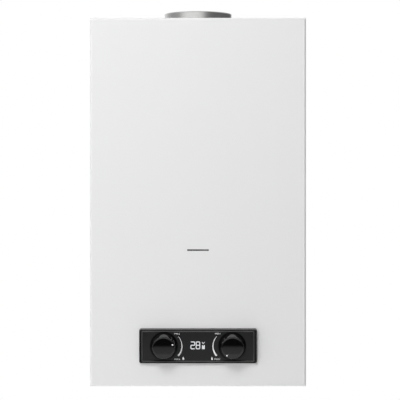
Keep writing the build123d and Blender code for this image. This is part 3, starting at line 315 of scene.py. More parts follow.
def make_piece(name, bm, where, material, body="heater", nodes=(), smooth_deg=35.0):
    """Links a built mesh as a piece that rides on a body and may stand for CAD nodes."""
    bmesh.ops.remove_doubles(bm, verts=bm.verts, dist=WELD_DISTANCE)
    bmesh.ops.recalc_face_normals(bm, faces=bm.faces)
    bm.transform(Matrix.Scale(MM, 4) @ where)
    mesh = bpy.data.meshes.new(name)
    bm.to_mesh(mesh)
    bm.free()
    mesh.polygons.foreach_set("use_smooth", [True] * len(mesh.polygons))
    mesh.set_sharp_from_angle(angle=math.radians(smooth_deg))
    mesh.materials.append(MATS[material])
    obj = bpy.data.objects.new(name, mesh)
    SCENE.collection.objects.link(obj)
    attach(obj, body)
    if nodes:
        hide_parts(*nodes)
    return obj


def level_normals(obj):
    """Lets the large faces lead the shading."""
    level = obj.modifiers.new("normals", "WEIGHTED_NORMAL")
    level.keep_sharp = True
    level.weight = 80


def wheel(steps):
    """Angles evenly round a full turn."""
    return [2 * math.pi * i / steps for i in range(steps)]


def arc(centre, radius, start_deg, end_deg, steps):
    """Points along part of a circle, both ends included."""
    turns = [math.radians(start_deg + (end_deg - start_deg) * i / steps) for i in range(steps + 1)]
    return [(centre[0] + radius * math.cos(t), centre[1] + radius * math.sin(t)) for t in turns]


def bridge(bm, low, high):
    """Faces between two closed loops that have as many points."""
    for i in range(len(low)):
        j = (i + 1) % len(low)
        bm.faces.new((low[i], low[j], high[j], high[i]))


def lathe(profile, steps=96):
    """A closed turned form about local Z through (radius, height) points."""
    bm = bmesh.new()
    rings = []
    for radius, height in profile:
        turns = wheel(steps) if radius else [0.0]
        rings.append([bm.verts.new((radius * math.cos(t), radius * math.sin(t), height)) for t in turns])
    pairs = list(zip(rings, rings[1:]))
    if len(rings[0]) > 1 and len(rings[-1]) > 1:
        pairs.append((rings[-1], rings[0]))
    for low, high in pairs:
        for i in range(steps):
            j = (i + 1) % steps
            corners = [low[i % len(low)], low[j % len(low)], high[j % len(high)], high[i % len(high)]]
            unique = list(dict.fromkeys(corners))
            if len(unique) > 2:
                bm.faces.new(unique)
    return bm


def polar(rows):
    """A closed ring-shaped form about local Z. Each row gives (radius, height) for an angle."""
    steps = 72
    bm = bmesh.new()
    rings = []
    for row in rows:
        ring = []
        for angle in wheel(steps):
            radius, height = row(angle)
            ring.append(bm.verts.new((radius * math.cos(angle), radius * math.sin(angle), height)))
        rings.append(ring)
    for low, high in zip(rings, rings[1:] + rings[:1]):
        bridge(bm, low, high)
    return bm


def merge(forms):
    """One mesh from several (form, placement) pairs."""
    whole = bmesh.new()
    for form, where in forms:
        form.transform(where)
        part = bpy.data.meshes.new("part")
        form.to_mesh(part)
        form.free()
        whole.from_mesh(part)
        bpy.data.meshes.remove(part)
    return whole


def slab(outline, low, high):
    """A flat form between two levels of local Z, from a loop of (u, v) points."""
    bm = bmesh.new()
    base = [bm.verts.new((u, v, low)) for u, v in outline]
    top = [bm.verts.new((u, v, high)) for u, v in outline]
    bm.faces.new(base)
    bm.faces.new(top)
    bridge(bm, base, top)
    return bm


def rounded(points, radius, steps=6):
    """An open run of points with its corners rounded."""
    out = [Vector(points[0])]
    for before, corner, after in zip(points, points[1:], points[2:]):
        before, corner, after = Vector(before), Vector(corner), Vector(after)
        towards, away = (before - corner).normalized(), (after - corner).normalized()
        half = towards.angle(away) / 2
        reach = radius / math.tan(half)
        middle = corner + (towards + away).normalized() * (radius / math.sin(half))
        first, last = corner + towards * reach - middle, corner + away * reach - middle
        sweep = first.angle(last)
        for i in range(steps + 1):
            t = i / steps
            spoke = first * math.sin((1 - t) * sweep) + last * math.sin(t * sweep)
            out.append(middle + spoke / math.sin(sweep))
    out.append(Vector(points[-1]))
    return out


def box_loop(u0, u1, v0, v1, corner):
    """A closed loop round a rectangle with rounded corners."""
    start = ((u0 + u1) / 2, v0, 0)
    loop = [start, (u1, v0, 0), (u1, v1, 0), (u0, v1, 0), (u0, v0, 0), start]
    return [(p.x, p.y) for p in rounded(loop, corner)[:-1]]


def strip(points, profiles, closed=False):
    """A flat band along (u, v) points, with a loop of (offset to the left, level) for each point."""
    bm = bmesh.new()
    count = len(points)
    rows = []
    for i, point in enumerate(points):
        ahead = points[(i + 1) % count] if closed or i + 1 < count else points[i]
        behind = points[i - 1] if closed or i else points[i]
        along = Vector(ahead[:2]) - Vector(behind[:2])
        side = Vector((-along.y, along.x)).normalized()
        rows.append([bm.verts.new((point[0] + side.x * off, point[1] + side.y * off, level))
                     for off, level in profiles[i]])
    for low, high in zip(rows, rows[1:]):
        bridge(bm, low, high)
    if closed:
        bridge(bm, rows[-1], rows[0])
    else:
        bm.faces.new(rows[0])
        bm.faces.new(rows[-1])
    return bm


def ribbon(points, widths, low, high, closed=False):
    """A flat stroke along (u, v) points, with one width or a width for each point."""
    if isinstance(widths, float):
        widths = [widths] * len(points)
    profiles = [[(-w / 2, low), (w / 2, low), (w / 2, high), (-w / 2, high)] for w in widths]
    return strip(points, profiles, closed)


def tube(points, radius):
    """A closed round tube along points in space."""
    sides = 32
    bm = bmesh.new()
    rings = []
    normal = None
    for i, point in enumerate(points):
        ahead = points[min(i + 1, len(points) - 1)]
        behind = points[max(i - 1, 0)]
        along = (ahead - behind).normalized()
        if normal is None:
            normal = along.orthogonal().normalized()
        normal = (normal - along * normal.dot(along)).normalized()
        across = along.cross(normal)
        rings.append([bm.verts.new(point + radius * (normal * math.cos(t) + across * math.sin(t)))
                      for t in wheel(sides)])
    for low, high in zip(rings, rings[1:]):
        bridge(bm, low, high)
    bm.faces.new(rings[0])
    bm.faces.new(rings[-1])
    return bm


# CAD nodes keep their shape: each gets its material, softened edges and smooth normals

WELD_METRES = 2e-6
EDGE_STEPS, EDGE_DEG = 2, 40

# Edge widths in millimetres, with the nodes that have them
EDGE_GROUPS = {
    0.08: ["panel_fascia"],
    0.1: ["display_board"],
    0.15: ["front_cover", "draft_hood", "chamber_shell"],
    0.2: ["back_plate", "burner_frame", "diaphragm", "display_module"],
    0.25: ["panel_bezel"],
    0.3: ["upper_bracket", "burner_bracket", "valve_bracket", "battery_box", "battery_door", "flue_sensor",
          "overheat_cutout"],
    0.4: ["gas_manifold", "relief_valve", "flow_switch", "pipe_nuts", "water_temp_sensor"],
    0.5: ["gas_solenoid", "water_valve_cover"],
    0.6: ["water_valve_body", "ignition_controller"],
    0.8: ["gas_valve_body"],
}
EDGES = {name: width for width, names in EDGE_GROUPS.items() for name in names}
FINISH = {"panel_bezel": "frame_black"}


def dress(name, material, edge):
    obj = NODES[name]
    obj.data.materials.clear()
    obj.data.materials.append(MATS[material])
    obj.data.polygons.foreach_set("material_index", [0] * len(obj.data.polygons))
    obj.data.polygons.foreach_set("use_smooth", [True] * len(obj.data.polygons))
    weld = obj.modifiers.new("weld", "WELD")
    weld.merge_threshold = WELD_METRES
    if edge:
        bevel = obj.modifiers.new("edge", "BEVEL")
        bevel.width = edge * MM
        bevel.segments = EDGE_STEPS
        bevel.limit_method = "ANGLE"
        bevel.angle_limit = math.radians(EDGE_DEG)
        bevel.use_clamp_overlap = True
    level_normals(obj)


for name, slot in SLOTS.items():
    dress(name, FINISH.get(name, slot), EDGES.get(name, 0.0))


# Front cover: a folded sheet pan with fine bends

Y_RIM = -2.0
SHEET, BEND_R, BEND_STEPS = 0.8, 4.0, 12
CUT_REACH, PAST_RIM = 3.0, 10.0
WINDOW_HALF_W, WINDOW_HALF_H, WINDOW_CORNER = 86.5, 21.25, 0.4
SLOT_HALF, SLOT_R, SLOT_Z, SLOT_STEPS = 17.25, 1.3, -303.5, 12
NOTCH_R, NOTCH_STEPS = 58.7, 64
BAY_HALF_W, BAY_Y, BAY_CORNER = 165.0, -100.0, 3.0
VENT_HALF_W, VENT_HALF_L, VENT_CORNER = 2.25, 17.0, 1.2
VENT_Y, VENT_PITCH, VENT_COUNT = -130.0, 22.0, 13
HOLE_R, HOLE_REACH, HOLE_SIDES = 2.1, 200.0, 24


def pan_rings():
    """(inset, depth) of the pan's loops, from the rim to the front, for the outside and the inside."""
    turns = [math.radians(90 * i / BEND_STEPS) for i in range(BEND_STEPS + 1)]

    def bend(radius):
        return [(BEND_R - radius * math.cos(t), Y_FRONT + BEND_R - radius * math.sin(t)) for t in turns]
    outside = [(0.0, Y_RIM)] + bend(BEND_R)
    inside = [(SHEET, Y_RIM)] + bend(BEND_R - SHEET)
    return outside, inside


def pan():
    bm = bmesh.new()
    skins = []
    for skin in pan_rings():
        loops = []
        for inset, depth in skin:
            x, low, high = X_SIDE - inset, Z_BOT + inset, Z_TOP - inset
            corners = ((-x, low), (x, low), (x, high), (-x, high))
            loops.append([bm.verts.new((u, depth, v)) for u, v in corners])
        skins.append(loops)
        bm.faces.new(loops[-1])
    for loops in skins:
        for low, high in zip(loops, loops[1:]):
            bridge(bm, low, high)
    outside, inside = skins
    bridge(bm, outside[0], inside[0])
    return bm


def as_object(name, bm):
    """A loose helper object that cuts or is cut, in millimetres."""
    bmesh.ops.recalc_face_normals(bm, faces=bm.faces)
    mesh = bpy.data.meshes.new(name)
    bm.to_mesh(mesh)
    bm.free()
    obj = bpy.data.objects.new(name, mesh)
    SCENE.collection.objects.link(obj)
    return obj


def evaluated_form(obj):
    """The mesh of an object as its modifiers leave it."""
    bpy.context.view_layer.update()
    mesh = bpy.data.meshes.new_from_object(obj.evaluated_get(bpy.context.evaluated_depsgraph_get()))
    form = bmesh.new()
    form.from_mesh(mesh)
    bpy.data.meshes.remove(mesh)
    return form


def carved(bm, cutters):
    """The form with each cutter taken away."""
    body = as_object("body", bm)
    tool = as_object("tool", merge(cutters))
    cut = body.modifiers.new("cut", "BOOLEAN")
    cut.operation = "DIFFERENCE"
    cut.solver = "EXACT"
    cut.object = tool
    form = evaluated_form(body)
    for helper in (body, tool):
        data = helper.data
        bpy.data.objects.remove(helper)
        bpy.data.meshes.remove(data)
    return form


def cover_cuts():
    """Panel window, sight slot, flue notch, service bay, air vents and screw holes, with their placements."""
    def through(outline, level):
        return slab(outline, level - CUT_REACH, level + CUT_REACH)
    front = facing(0, 0, Y_FRONT)
    plain = Matrix()
    window = box_loop(-WINDOW_HALF_W, WINDOW_HALF_W, Z_PANEL - WINDOW_HALF_H, Z_PANEL + WINDOW_HALF_H,
                      WINDOW_CORNER)
    slot_right = arc((SLOT_HALF - SLOT_R, SLOT_Z), SLOT_R, -90, 90, SLOT_STEPS)
    slot_left = arc((SLOT_R - SLOT_HALF, SLOT_Z), SLOT_R, 90, 270, SLOT_STEPS)
    notch = arc((0, FLUE_Y), NOTCH_R, 180, 360, NOTCH_STEPS) + [(NOTCH_R, PAST_RIM), (-NOTCH_R, PAST_RIM)]
    bay = box_loop(-BAY_HALF_W, BAY_HALF_W, BAY_Y, PAST_RIM, BAY_CORNER)
    cuts = [(through(window, 0.0), front), (through(slot_right + slot_left, 0.0), front),
            (through(notch, Z_TOP), plain), (through(bay, Z_BOT), plain)]
    for i in range(VENT_COUNT):
        x = (i - (VENT_COUNT - 1) / 2) * VENT_PITCH
        vent = box_loop(x - VENT_HALF_W, x + VENT_HALF_W, VENT_Y - VENT_HALF_L, VENT_Y + VENT_HALF_L,
                        VENT_CORNER)
        cuts.append((through(vent, Z_BOT), plain))
    across = Matrix.Translation((0, SCREW_Y, SCREW_Z)) @ Matrix.Rotation(math.radians(90), 4, "Y")
    hole = arc((0, 0), HOLE_R, 0, 360 - 360 / HOLE_SIDES, HOLE_SIDES - 1)
    cuts.append((slab(hole, -HOLE_REACH, HOLE_REACH), across))
    return cuts


cover = make_piece("cover_form", carved(pan(), cover_cuts()), Matrix(), "white_enamel",
                   nodes=["front_cover"], smooth_deg=30.0)
level_normals(cover)


# Knobs: radii, and heights above the foot

KNOB_BORE_R, KNOB_BORE_END = 4.05, 15.0
KNOB_BOSS_R, KNOB_BOSS_LOW = 7.5, -14.0
KNOB_ROOF, KNOB_ROOF_R = 20.0, 15.1
KNOB_MOUTH, KNOB_MOUTH_R = 0.6, 19.0
KNOB_FOOT_R, KNOB_FOOT_H, KNOB_TAPER = 21.7, 0.45, 4.35
KNOB_SIDE_TOP, KNOB_SIDE_STEPS = 24.2, 6
KNOB_FACE_R, KNOB_FACE_EDGE, KNOB_CROWN, KNOB_FACE_STEPS = 16.05, 25.36, 26.0, 10
KNOB_ROLL_W, KNOB_ROLL_H, KNOB_ROLL_DEGS = 1.3, 1.1, (20, 40, 60, 75)
DOT_ORBIT, DOT_R, DOT_DEEP = 14.7, 1.2, 0.5
KNOB_TURN_STEPS, DOT_TURN_STEPS = 128, 32


def knob_face(radius):
    """The height of the slightly domed face at a radius."""
    return KNOB_CROWN - (KNOB_CROWN - KNOB_FACE_EDGE) * (radius / KNOB_FACE_R) ** 2


def knob_profile():
    """From the spindle bore out through the hollow, round the foot, up the cone and over the face."""
    hollow = [(0, KNOB_BORE_END), (KNOB_BORE_R, KNOB_BORE_END), (KNOB_BORE_R, KNOB_BOSS_LOW),
              (KNOB_BOSS_R, KNOB_BOSS_LOW), (KNOB_BOSS_R, KNOB_ROOF), (KNOB_ROOF_R, KNOB_ROOF),
              (KNOB_MOUTH_R, KNOB_MOUTH)]
    foot = [(KNOB_FOOT_R - 0.5, 0.0), (KNOB_FOOT_R - 0.15, 0.12), (KNOB_FOOT_R, KNOB_FOOT_H)]
    shares = [i / KNOB_SIDE_STEPS for i in range(1, KNOB_SIDE_STEPS + 1)]
    cone = [(KNOB_FOOT_R - KNOB_TAPER * t, KNOB_FOOT_H + (KNOB_SIDE_TOP - KNOB_FOOT_H) * t) for t in shares]
    roll = [(KNOB_FACE_R + KNOB_ROLL_W * math.cos(t), KNOB_SIDE_TOP + KNOB_ROLL_H * math.sin(t))
            for t in map(math.radians, KNOB_ROLL_DEGS)]
    radii = [KNOB_FACE_R * i / KNOB_FACE_STEPS for i in range(KNOB_FACE_STEPS, -1, -1)]
    return hollow + foot + cone + roll + [(r, knob_face(r)) for r in radii]


def knob(name, body, cad_node, x, dot_deg):
    """A hollow tapered knob with a rolled edge, a glossy cone on a matt foot, and a pointer dot."""
    where = facing(x, Z_PANEL, Y_KNOB)
    form = lathe(knob_profile(), KNOB_TURN_STEPS)
    made = make_piece(name, form, where, "knob_black", body, [cad_node], smooth_deg=28.0)
    made.data.materials.append(MATS["knob_side"])
    made.data.materials.append(MATS["knob_foot"])
    front = (Y_KNOB - KNOB_SIDE_TOP) * MM
    foot = (Y_KNOB - KNOB_SIDE_TOP / 2) * MM
    for face in made.data.polygons:
        face.material_index = int(face.center.y > front) + int(face.center.y > foot)
    level = knob_face(DOT_ORBIT)
    dot = lathe([(0, level - DOT_DEEP), (DOT_R, level - DOT_DEEP), (DOT_R, level + 0.02),
                 (DOT_R - 0.15, level + 0.09), (0, level + 0.12)], DOT_TURN_STEPS)
    turn = math.radians(dot_deg)
    orbit = Matrix.Translation((DOT_ORBIT * math.cos(turn), DOT_ORBIT * math.sin(turn), 0))
    make_piece(name + "_dot", dot, where @ orbit, "print_white", body)


knob("gas_knob_form", "gas_control", "gas_knob", -X_KNOB, dot_deg=18.0)
knob("water_knob_form", "water_control", "water_knob", X_KNOB, dot_deg=234.5)


# Printing on the fascia: places are right of and above the middle of the panel

PRINT_LOW, PRINT_HIGH = -0.05, 0.03
PANEL = facing(0.0, Z_PANEL, Y_FASCIA)
SCALE_R, SCALE_DEG, SCALE_STEPS = 22.6, 42, 40
SCALE_THIN, SCALE_SWELL = 0.55, 1.95
SCALE_NEARER, SCALE_LEFT, SCALE_DOWN = 6.6, 0.9, 0.3
WORD_H = 2.4


def print_piece(name, bm, material="print_white"):
    make_piece(name, bm, PANEL, material)


def scale_mark(name, side):
    """A tapered arc beside a knob, thin at the low end above and thick at the high end below."""
    centre = (side * (X_KNOB - SCALE_NEARER) - SCALE_LEFT, -SCALE_DOWN)
    first, last = (180 - SCALE_DEG, 180 + SCALE_DEG) if side > 0 else (SCALE_DEG, -SCALE_DEG)
    widths = [SCALE_THIN + SCALE_SWELL * i / SCALE_STEPS for i in range(SCALE_STEPS + 1)]
    points = arc(centre, SCALE_R, first, last, SCALE_STEPS)
    print_piece(name, ribbon(points, widths, PRINT_LOW, PRINT_HIGH))


def word(name, text, centre, width):
    """A printed word, fitted to a width, the height of the lettering and the thickness of the print."""
    curve = bpy.data.curves.new(name, "FONT")
    curve.body = text
    curve.extrude = 0.02
    maker = bpy.data.objects.new(name, curve)
    SCENE.collection.objects.link(maker)
    bm = evaluated_form(maker)
    bpy.data.objects.remove(maker)
    bpy.data.curves.remove(curve)
    sizes = (width, WORD_H, PRINT_HIGH - PRINT_LOW)
    middles = (*centre, (PRINT_LOW + PRINT_HIGH) / 2)
    for axis, (size, middle) in enumerate(zip(sizes, middles)):
        low = min(v.co[axis] for v in bm.verts)
        high = max(v.co[axis] for v in bm.verts)
        for v in bm.verts:
            v.co[axis] = middle + ((v.co[axis] - low) / (high - low) - 0.5) * size
    print_piece(name, bm)


def mark(name, shape, centre, size):
    """A printed sign from an outline about its own middle."""
    outline = [(centre[0] + u * size, centre[1] + v * size) for u, v in shape]
    print_piece(name, slab(outline, PRINT_LOW, PRINT_HIGH))


FLAME = [(-0.25, 1.0), (0.02, 0.78), (0.3, 0.42), (0.58, 0.0), (0.74, -0.45), (0.66, -0.82), (0.36, -1.0),
         (0.05, -0.86), (-0.22, -1.0), (-0.52, -0.82), (-0.62, -0.42), (-0.5, 0.0), (-0.4, 0.24), (-0.3, 0.6)]
BOWL_W, BOWL_H, BOWL_DOWN = 0.52, 0.55, 0.42
BOWL = [(BOWL_W * math.cos(math.radians(a)), BOWL_H * math.sin(math.radians(a)) - BOWL_DOWN)
        for a in range(30, -211, -20)]
DROP = [(0.0, 1.0), (0.2, 0.66), (0.4, 0.2)] + BOWL + [(-0.4, 0.2), (-0.2, 0.66)]

scale_mark("gas_scale", -1)
scale_mark("water_scale", 1)
word("gas_min", "MIN", (-33.1, 19.0), 8.5)
word("gas_max", "MAX", (-32.4, -20.8), 9.0)
word("water_min", "MIN", (30.8, 19.2), 8.2)
word("water_max", "MAX", (30.0, -20.8), 9.0)
mark("flame_mark", FLAME, (-23.2, -19.3), 2.4)
mark("drop_mark", DROP, (21.9, -19.5), 2.6)


# Lit display: two digits and a tap sign

STROKE, THIN_STROKE, CORNER = 1.45, 1.0, 1.2
DIGIT_TOP, DIGIT_MID, DIGIT_LOW = 6.3, 1.1, -4.45
TWO_L, TWO_R = -11.2, -5.2
EIGHT_L, EIGHT_R = -2.9, 2.75
EIGHT_MID = (EIGHT_L + EIGHT_R) / 2


def lit_piece(name, form):
    print_piece(name, form, "lit_segment")


def corners_of(points):
    return rounded([(u, v, 0) for u, v in points], CORNER)


two = corners_of([(TWO_L, DIGIT_TOP), (TWO_R, DIGIT_TOP), (TWO_R, DIGIT_MID), (TWO_L, DIGIT_MID),
                  (TWO_L, DIGIT_LOW), (TWO_R, DIGIT_LOW)])
lit_piece("digit_two", ribbon(two, STROKE, PRINT_LOW, PRINT_HIGH))
eight = corners_of([(EIGHT_MID, DIGIT_LOW), (EIGHT_R, DIGIT_LOW), (EIGHT_R, DIGIT_TOP), (EIGHT_L, DIGIT_TOP),
                    (EIGHT_L, DIGIT_LOW), (EIGHT_MID, DIGIT_LOW)])
lit_piece("digit_eight", ribbon(eight[:-1], STROKE, PRINT_LOW, PRINT_HIGH, closed=True))
bar = [(EIGHT_L + STROKE / 2, DIGIT_MID), (EIGHT_R - STROKE / 2, DIGIT_MID)]
lit_piece("digit_eight_bar", ribbon(bar, STROKE, PRINT_LOW, PRINT_HIGH))
tap_arms = [(6.4, 6.0), (8.3, 3.2), (10.2, 6.0)]
lit_piece("tap_sign", ribbon(tap_arms, THIN_STROKE, PRINT_LOW, PRINT_HIGH))
tap_stem = [(6.1, -5.0), (10.6, -5.0), (10.6, 1.2), (8.9, 1.2), (8.9, -0.4), (7.7, -0.4), (7.7, 1.2),
            (6.1, 1.2)]
lit_piece("tap_stem", slab(tap_stem, PRINT_LOW, PRINT_HIGH))


# Panel rim with a rounded upper edge and steep sides, and the trim bead inside it; the rim's upward faces
# near its top carry painted light from above

PANEL_HALF_W, PANEL_HALF_H, PANEL_CORNER, LEAST_CORNER = 92.5, 27.25, 3.5, 0.3
# Level, then inset of the sides and lower edge, then inset of the upper edge
RIM_ROWS = [(0.0, 0.0, 0.0), (2.4, 0.1, 0.45), (4.2, 0.16, 1.0), (5.4, 0.2, 1.6), (5.9, 0.32, 2.0),
            (6.04, 0.7, 2.3), (6.04, 3.15, 3.35), (5.03, 4.95, 4.95), (4.0, 4.95, 4.95)]
# Rim faces with painted light: within this depth of the rim's top, and facing up past this tilt
PAINTED_LIGHT_DOWN, PAINTED_LIGHT_TILT = 3.0, 0.5
TRIM_W, TRIM_LOW, TRIM_RISE, TRIM_DROP = 2.2, 4.9, 1.3, -0.75
TRIM_HALF_W, TRIM_HALF_H, TRIM_CORNER = 87.7, 23.45, 1.2
ON_COVER = facing(0, Z_PANEL, Y_FRONT)


def rim():
    bm = bmesh.new()
    loops = []
    for level, side, top in RIM_ROWS:
        half_w = PANEL_HALF_W - side
        corner = max(PANEL_CORNER - side, LEAST_CORNER)
        outline = box_loop(-half_w, half_w, side - PANEL_HALF_H, PANEL_HALF_H - top, corner)
        loops.append([bm.verts.new((u, v, level)) for u, v in outline])
    for low, high in zip(loops, loops[1:] + loops[:1]):
        bridge(bm, low, high)
    return bm


panel_rim = make_piece("panel_rim", rim(), ON_COVER, "frame_black", smooth_deg=50.0)
# Upward faces near the rim's top take the lighter copy of its black: painted light from above
panel_rim.data.materials.append(MATS["frame_gloss_painted_light"])
painted_light_from = (Z_PANEL + PANEL_HALF_H - PAINTED_LIGHT_DOWN) * MM
for face in panel_rim.data.polygons:
    face.material_index = int(face.normal.z > PAINTED_LIGHT_TILT and face.center.z > painted_light_from)
bead = [(TRIM_W / 2 * math.cos(math.radians(a)), TRIM_LOW + TRIM_RISE * math.sin(math.radians(a)))
        for a in range(0, 181, 20)]
path = box_loop(-TRIM_HALF_W, TRIM_HALF_W, TRIM_DROP - TRIM_HALF_H, TRIM_DROP + TRIM_HALF_H, TRIM_CORNER)
# The bead's lighter grey is partly a painted highlight along the rim's inner edge
make_piece("panel_trim", strip(path, [bead] * len(path), closed=True), ON_COVER, "trim_grey_painted_highlight")


# Flue collar: rolled upper edge, flat lock seam

COLLAR_LOW, COLLAR_HIGH = 48.0, 75.5
WALL_OUT, WALL_IN = 54.35, 53.7
ROLL_R, ROLL_AXIS, ROLL_STEPS = 0.75, 53.95, 10
COLLAR_STEPS = 160
NECK = COLLAR_HIGH - 2.2 * ROLL_R
SEAM_DEG, SEAM_HALF_DEG, SEAM_BELOW = -142.5, 2.6, 0.4
SEAM_WIDTHS = [0.1, 0.66, 0.7, 0.7, 0.7, 0.66, 0.1]
roll = arc((ROLL_AXIS, COLLAR_HIGH - ROLL_R), ROLL_R, -60, 240, ROLL_STEPS)
wall = [(WALL_IN, COLLAR_LOW), (WALL_OUT, COLLAR_LOW), (WALL_OUT, NECK)]
collar = lathe(wall + roll + [(WALL_IN, NECK)], COLLAR_STEPS)
seam_points = arc((0, 0), WALL_OUT, SEAM_DEG - SEAM_HALF_DEG, SEAM_DEG + SEAM_HALF_DEG, len(SEAM_WIDTHS) - 1)
seam = ribbon(seam_points, SEAM_WIDTHS, COLLAR_LOW, NECK - SEAM_BELOW)
make_piece("collar_form", merge([(collar, Matrix()), (seam, Matrix())]), upright(0, FLUE_Y), "flue_steel",
           nodes=["flue_collar"], smooth_deg=40.0)


# Pipe connections with their threads

THREAD_R, THREAD_PITCH, THREAD_DEEP = 10.478, 1.814, 1.162
THREAD_START, THREAD_RUN_OUT, THREAD_STEPS = 1.5, 0.4, 56
BORE_R, CHAMFER = 7.5, 0.6
UNION_LOW, UNION_SEAT, UNION_ACROSS = -528.0, -514.0, 24.0
GROOVE_R, GROOVE_H = 9.6, 0.5
HEX_CROWN = 0.475


def hexagon(across, angle):
    """The distance from the middle of a hexagon bar to its side, at an angle."""
    return across / 2 / math.cos(angle % (math.pi / 3) - math.pi / 6)


def round_row(radius, height):
    return lambda angle: (radius, height)


def hex_row(across, height, limit=math.inf):
    """A row of a hexagon bar whose corners are turned down to a limit."""
    return lambda angle: (min(hexagon(across, angle), limit), height)


def hex_bar(across, low, high):
    """Rows of a hexagon bar whose corners are chamfered at both ends."""
    rises = (0.0, 0.45, 0.9, 1.35)
    limits = [across * HEX_CROWN + rise * math.sqrt(3) for rise in rises]
    lower = [hex_row(across, low + rise, limit) for rise, limit in zip(rises, limits)]
    upper = [hex_row(across, high - rise, limit) for rise, limit in zip(rises, limits)]
    return lower + upper[::-1]


def thread_row(height, low, high):
    """A row of an outside pipe thread, chamfered at its start and running out at its end."""
    fade = min(1.0, (high - height) / THREAD_PITCH)
    start = THREAD_R - THREAD_START + (height - low)

    def at(angle):
        phase = height / THREAD_PITCH - angle / (2 * math.pi)
        deep = THREAD_DEEP * (0.5 - 0.5 * math.cos(2 * math.pi * phase))
        return min(THREAD_R - deep * fade - (1 - fade) * THREAD_RUN_OUT, start), height
    return at


def union(name, cad_node, x, y, top):
    high = UNION_SEAT - CHAMFER
    heights = [UNION_LOW + (high - UNION_LOW) * i / THREAD_STEPS for i in range(THREAD_STEPS + 1)]
    rows = [round_row(BORE_R + CHAMFER, UNION_LOW)] + [thread_row(h, UNION_LOW, high) for h in heights]
    rows += [round_row(GROOVE_R, UNION_SEAT - GROOVE_H), round_row(GROOVE_R, UNION_SEAT)]
    rows += hex_bar(UNION_ACROSS, UNION_SEAT, top)
    rows += [round_row(BORE_R, top), round_row(BORE_R, UNION_LOW + CHAMFER)]
    make_piece(name, polar(rows), upright(x, y), "brass", nodes=[cad_node], smooth_deg=32.0)


union("gas_union_form", "gas_inlet_union", -X_KNOB, MID_RUN, -485.5)
union("cold_union_form", "cold_inlet_union", 63.5, MID_RUN, -483.5)
union("hot_union_form", "hot_outlet_union", HOT_X, BACK_RUN, HOT_SEAT)


# Copper and gas pipes, and the leads

PIPE_R, PIPE_BEND, GAS_BEND, BEND_POINTS = 6.0, 14.0, 10.0, 8
LEAD_R, LEAD_BEND = 2.0, 8.0
FIN_Z, COIL_Z, RISER_Z = -121.0, -266.0, -406.0
FIN_END, FIN_TURN = 108.0, 122.0
COIL_X, COIL_Y, RISER_X, COLD_X = -126.0, -146.8, 112.8, 92.5
GAS_X, VALVE_Y, MANIFOLD_Y = -41.0, -95.0, -149.0
VALVE_TOP, GAS_JOG, MANIFOLD_LOW = -425.5, -407.75, -384.5

fin_tubes = [(-FIN_END, FRONT_RUN, FIN_Z), (FIN_TURN, FRONT_RUN, FIN_Z), (FIN_TURN, MID_RUN, FIN_Z),
             (-FIN_TURN, MID_RUN, FIN_Z), (-FIN_TURN, BACK_RUN, FIN_Z), (FIN_END, BACK_RUN, FIN_Z)]
chamber_coil = [(RISER_X, MID_RUN, RISER_Z), (RISER_X, MID_RUN, COIL_Z), (RISER_X, COIL_Y, COIL_Z),
                (COIL_X, COIL_Y, COIL_Z), (COIL_X, FRONT_RUN, COIL_Z), (COIL_X, FRONT_RUN, FIN_Z),
                (-FIN_END, FRONT_RUN, FIN_Z)]
cold_riser = [(COLD_X, MID_RUN, Z_PANEL), (RISER_X, MID_RUN, Z_PANEL), (RISER_X, MID_RUN, RISER_Z)]
hot_pipe = [(FIN_END, BACK_RUN, FIN_Z), (HOT_X, BACK_RUN, FIN_Z), (HOT_X, BACK_RUN, HOT_SEAT)]
gas_riser = [(GAS_X, VALVE_Y, VALVE_TOP), (GAS_X, VALVE_Y, GAS_JOG), (GAS_X, MANIFOLD_Y, GAS_JOG),
             (GAS_X, MANIFOLD_Y, MANIFOLD_LOW)]
ignition_lead = [(-118, -100, -314), (-154.2, -100, -314), (-154.2, -31, -314)]
sensor_lead = [(-118, -70, -314), (-134.2, -70, -314), (-134.2, -31, -314)]
solenoid_lead = [(-75.5, -58, -414.5), (-134.2, -58, -414.5), (-134.2, -8.5, -414.5), (-134.2, -8.5, -386)]
display_lead = [(0, -155.4, -442.2), (0, -139.4, -442.2), (-94.5, -139.4, -442.2), (-94.5, -139.4, -402),
                (-144.2, -16, -402), (-144.2, -16, -386)]


def pipe_piece(name, points, radius, bend, material):
    form = tube(rounded(points, bend, BEND_POINTS), radius)
    make_piece(name + "_form", form, Matrix(), material, nodes=[name], smooth_deg=50.0)


pipe_piece("fin_tubes", fin_tubes, PIPE_R, PIPE_BEND, "copper")
pipe_piece("chamber_coil", chamber_coil, PIPE_R, PIPE_BEND, "copper")
pipe_piece("cold_riser", cold_riser, PIPE_R, PIPE_BEND, "copper")
pipe_piece("hot_pipe", hot_pipe, PIPE_R, PIPE_BEND, "copper")
pipe_piece("gas_riser", gas_riser, PIPE_R, GAS_BEND, "aluminium")
pipe_piece("ignition_lead", ignition_lead, LEAD_R, LEAD_BEND, "lead_red")
pipe_piece("sensor_lead", sensor_lead, LEAD_R, LEAD_BEND, "lead_white")
pipe_piece("solenoid_lead", solenoid_lead, LEAD_R, LEAD_BEND, "lead_white")
pipe_piece("display_lead", display_lead, LEAD_R, LEAD_BEND, "lead_white")


# Cells, with a flat lower end and a button on top

CELL_PROFILE = [(0, 0.2), (9.5, 0.2), (10.2, 0.0), (15.2, 0.0), (16.3, 0.5), (16.6, 1.4), (16.6, 58.6),
                (16.3, 59.5), (15.2, 60.0), (13.8, 59.4), (6.2, 59.4), (4.9, 60.0), (4.5, 60.6), (4.3, 61.3),
                (3.9, 61.5), (0, 61.5)]
CELL_X, CELL_Y, CELL_Z = (-144.6, -110.4), -20.6, -511.6
cells = [(lathe(CELL_PROFILE), upright(x, CELL_Y, CELL_Z)) for x in CELL_X]
make_piece("cells_form", merge(cells), Matrix(), "cell_jacket", nodes=["battery_cells"],
           smooth_deg=40.0)


# Screws of the cover, and of the ring that clamps the diaphragm

RING_X, RING_R, RING_COUNT = 32.0, 30.0, 4
NEAR_AXIS = 0.05


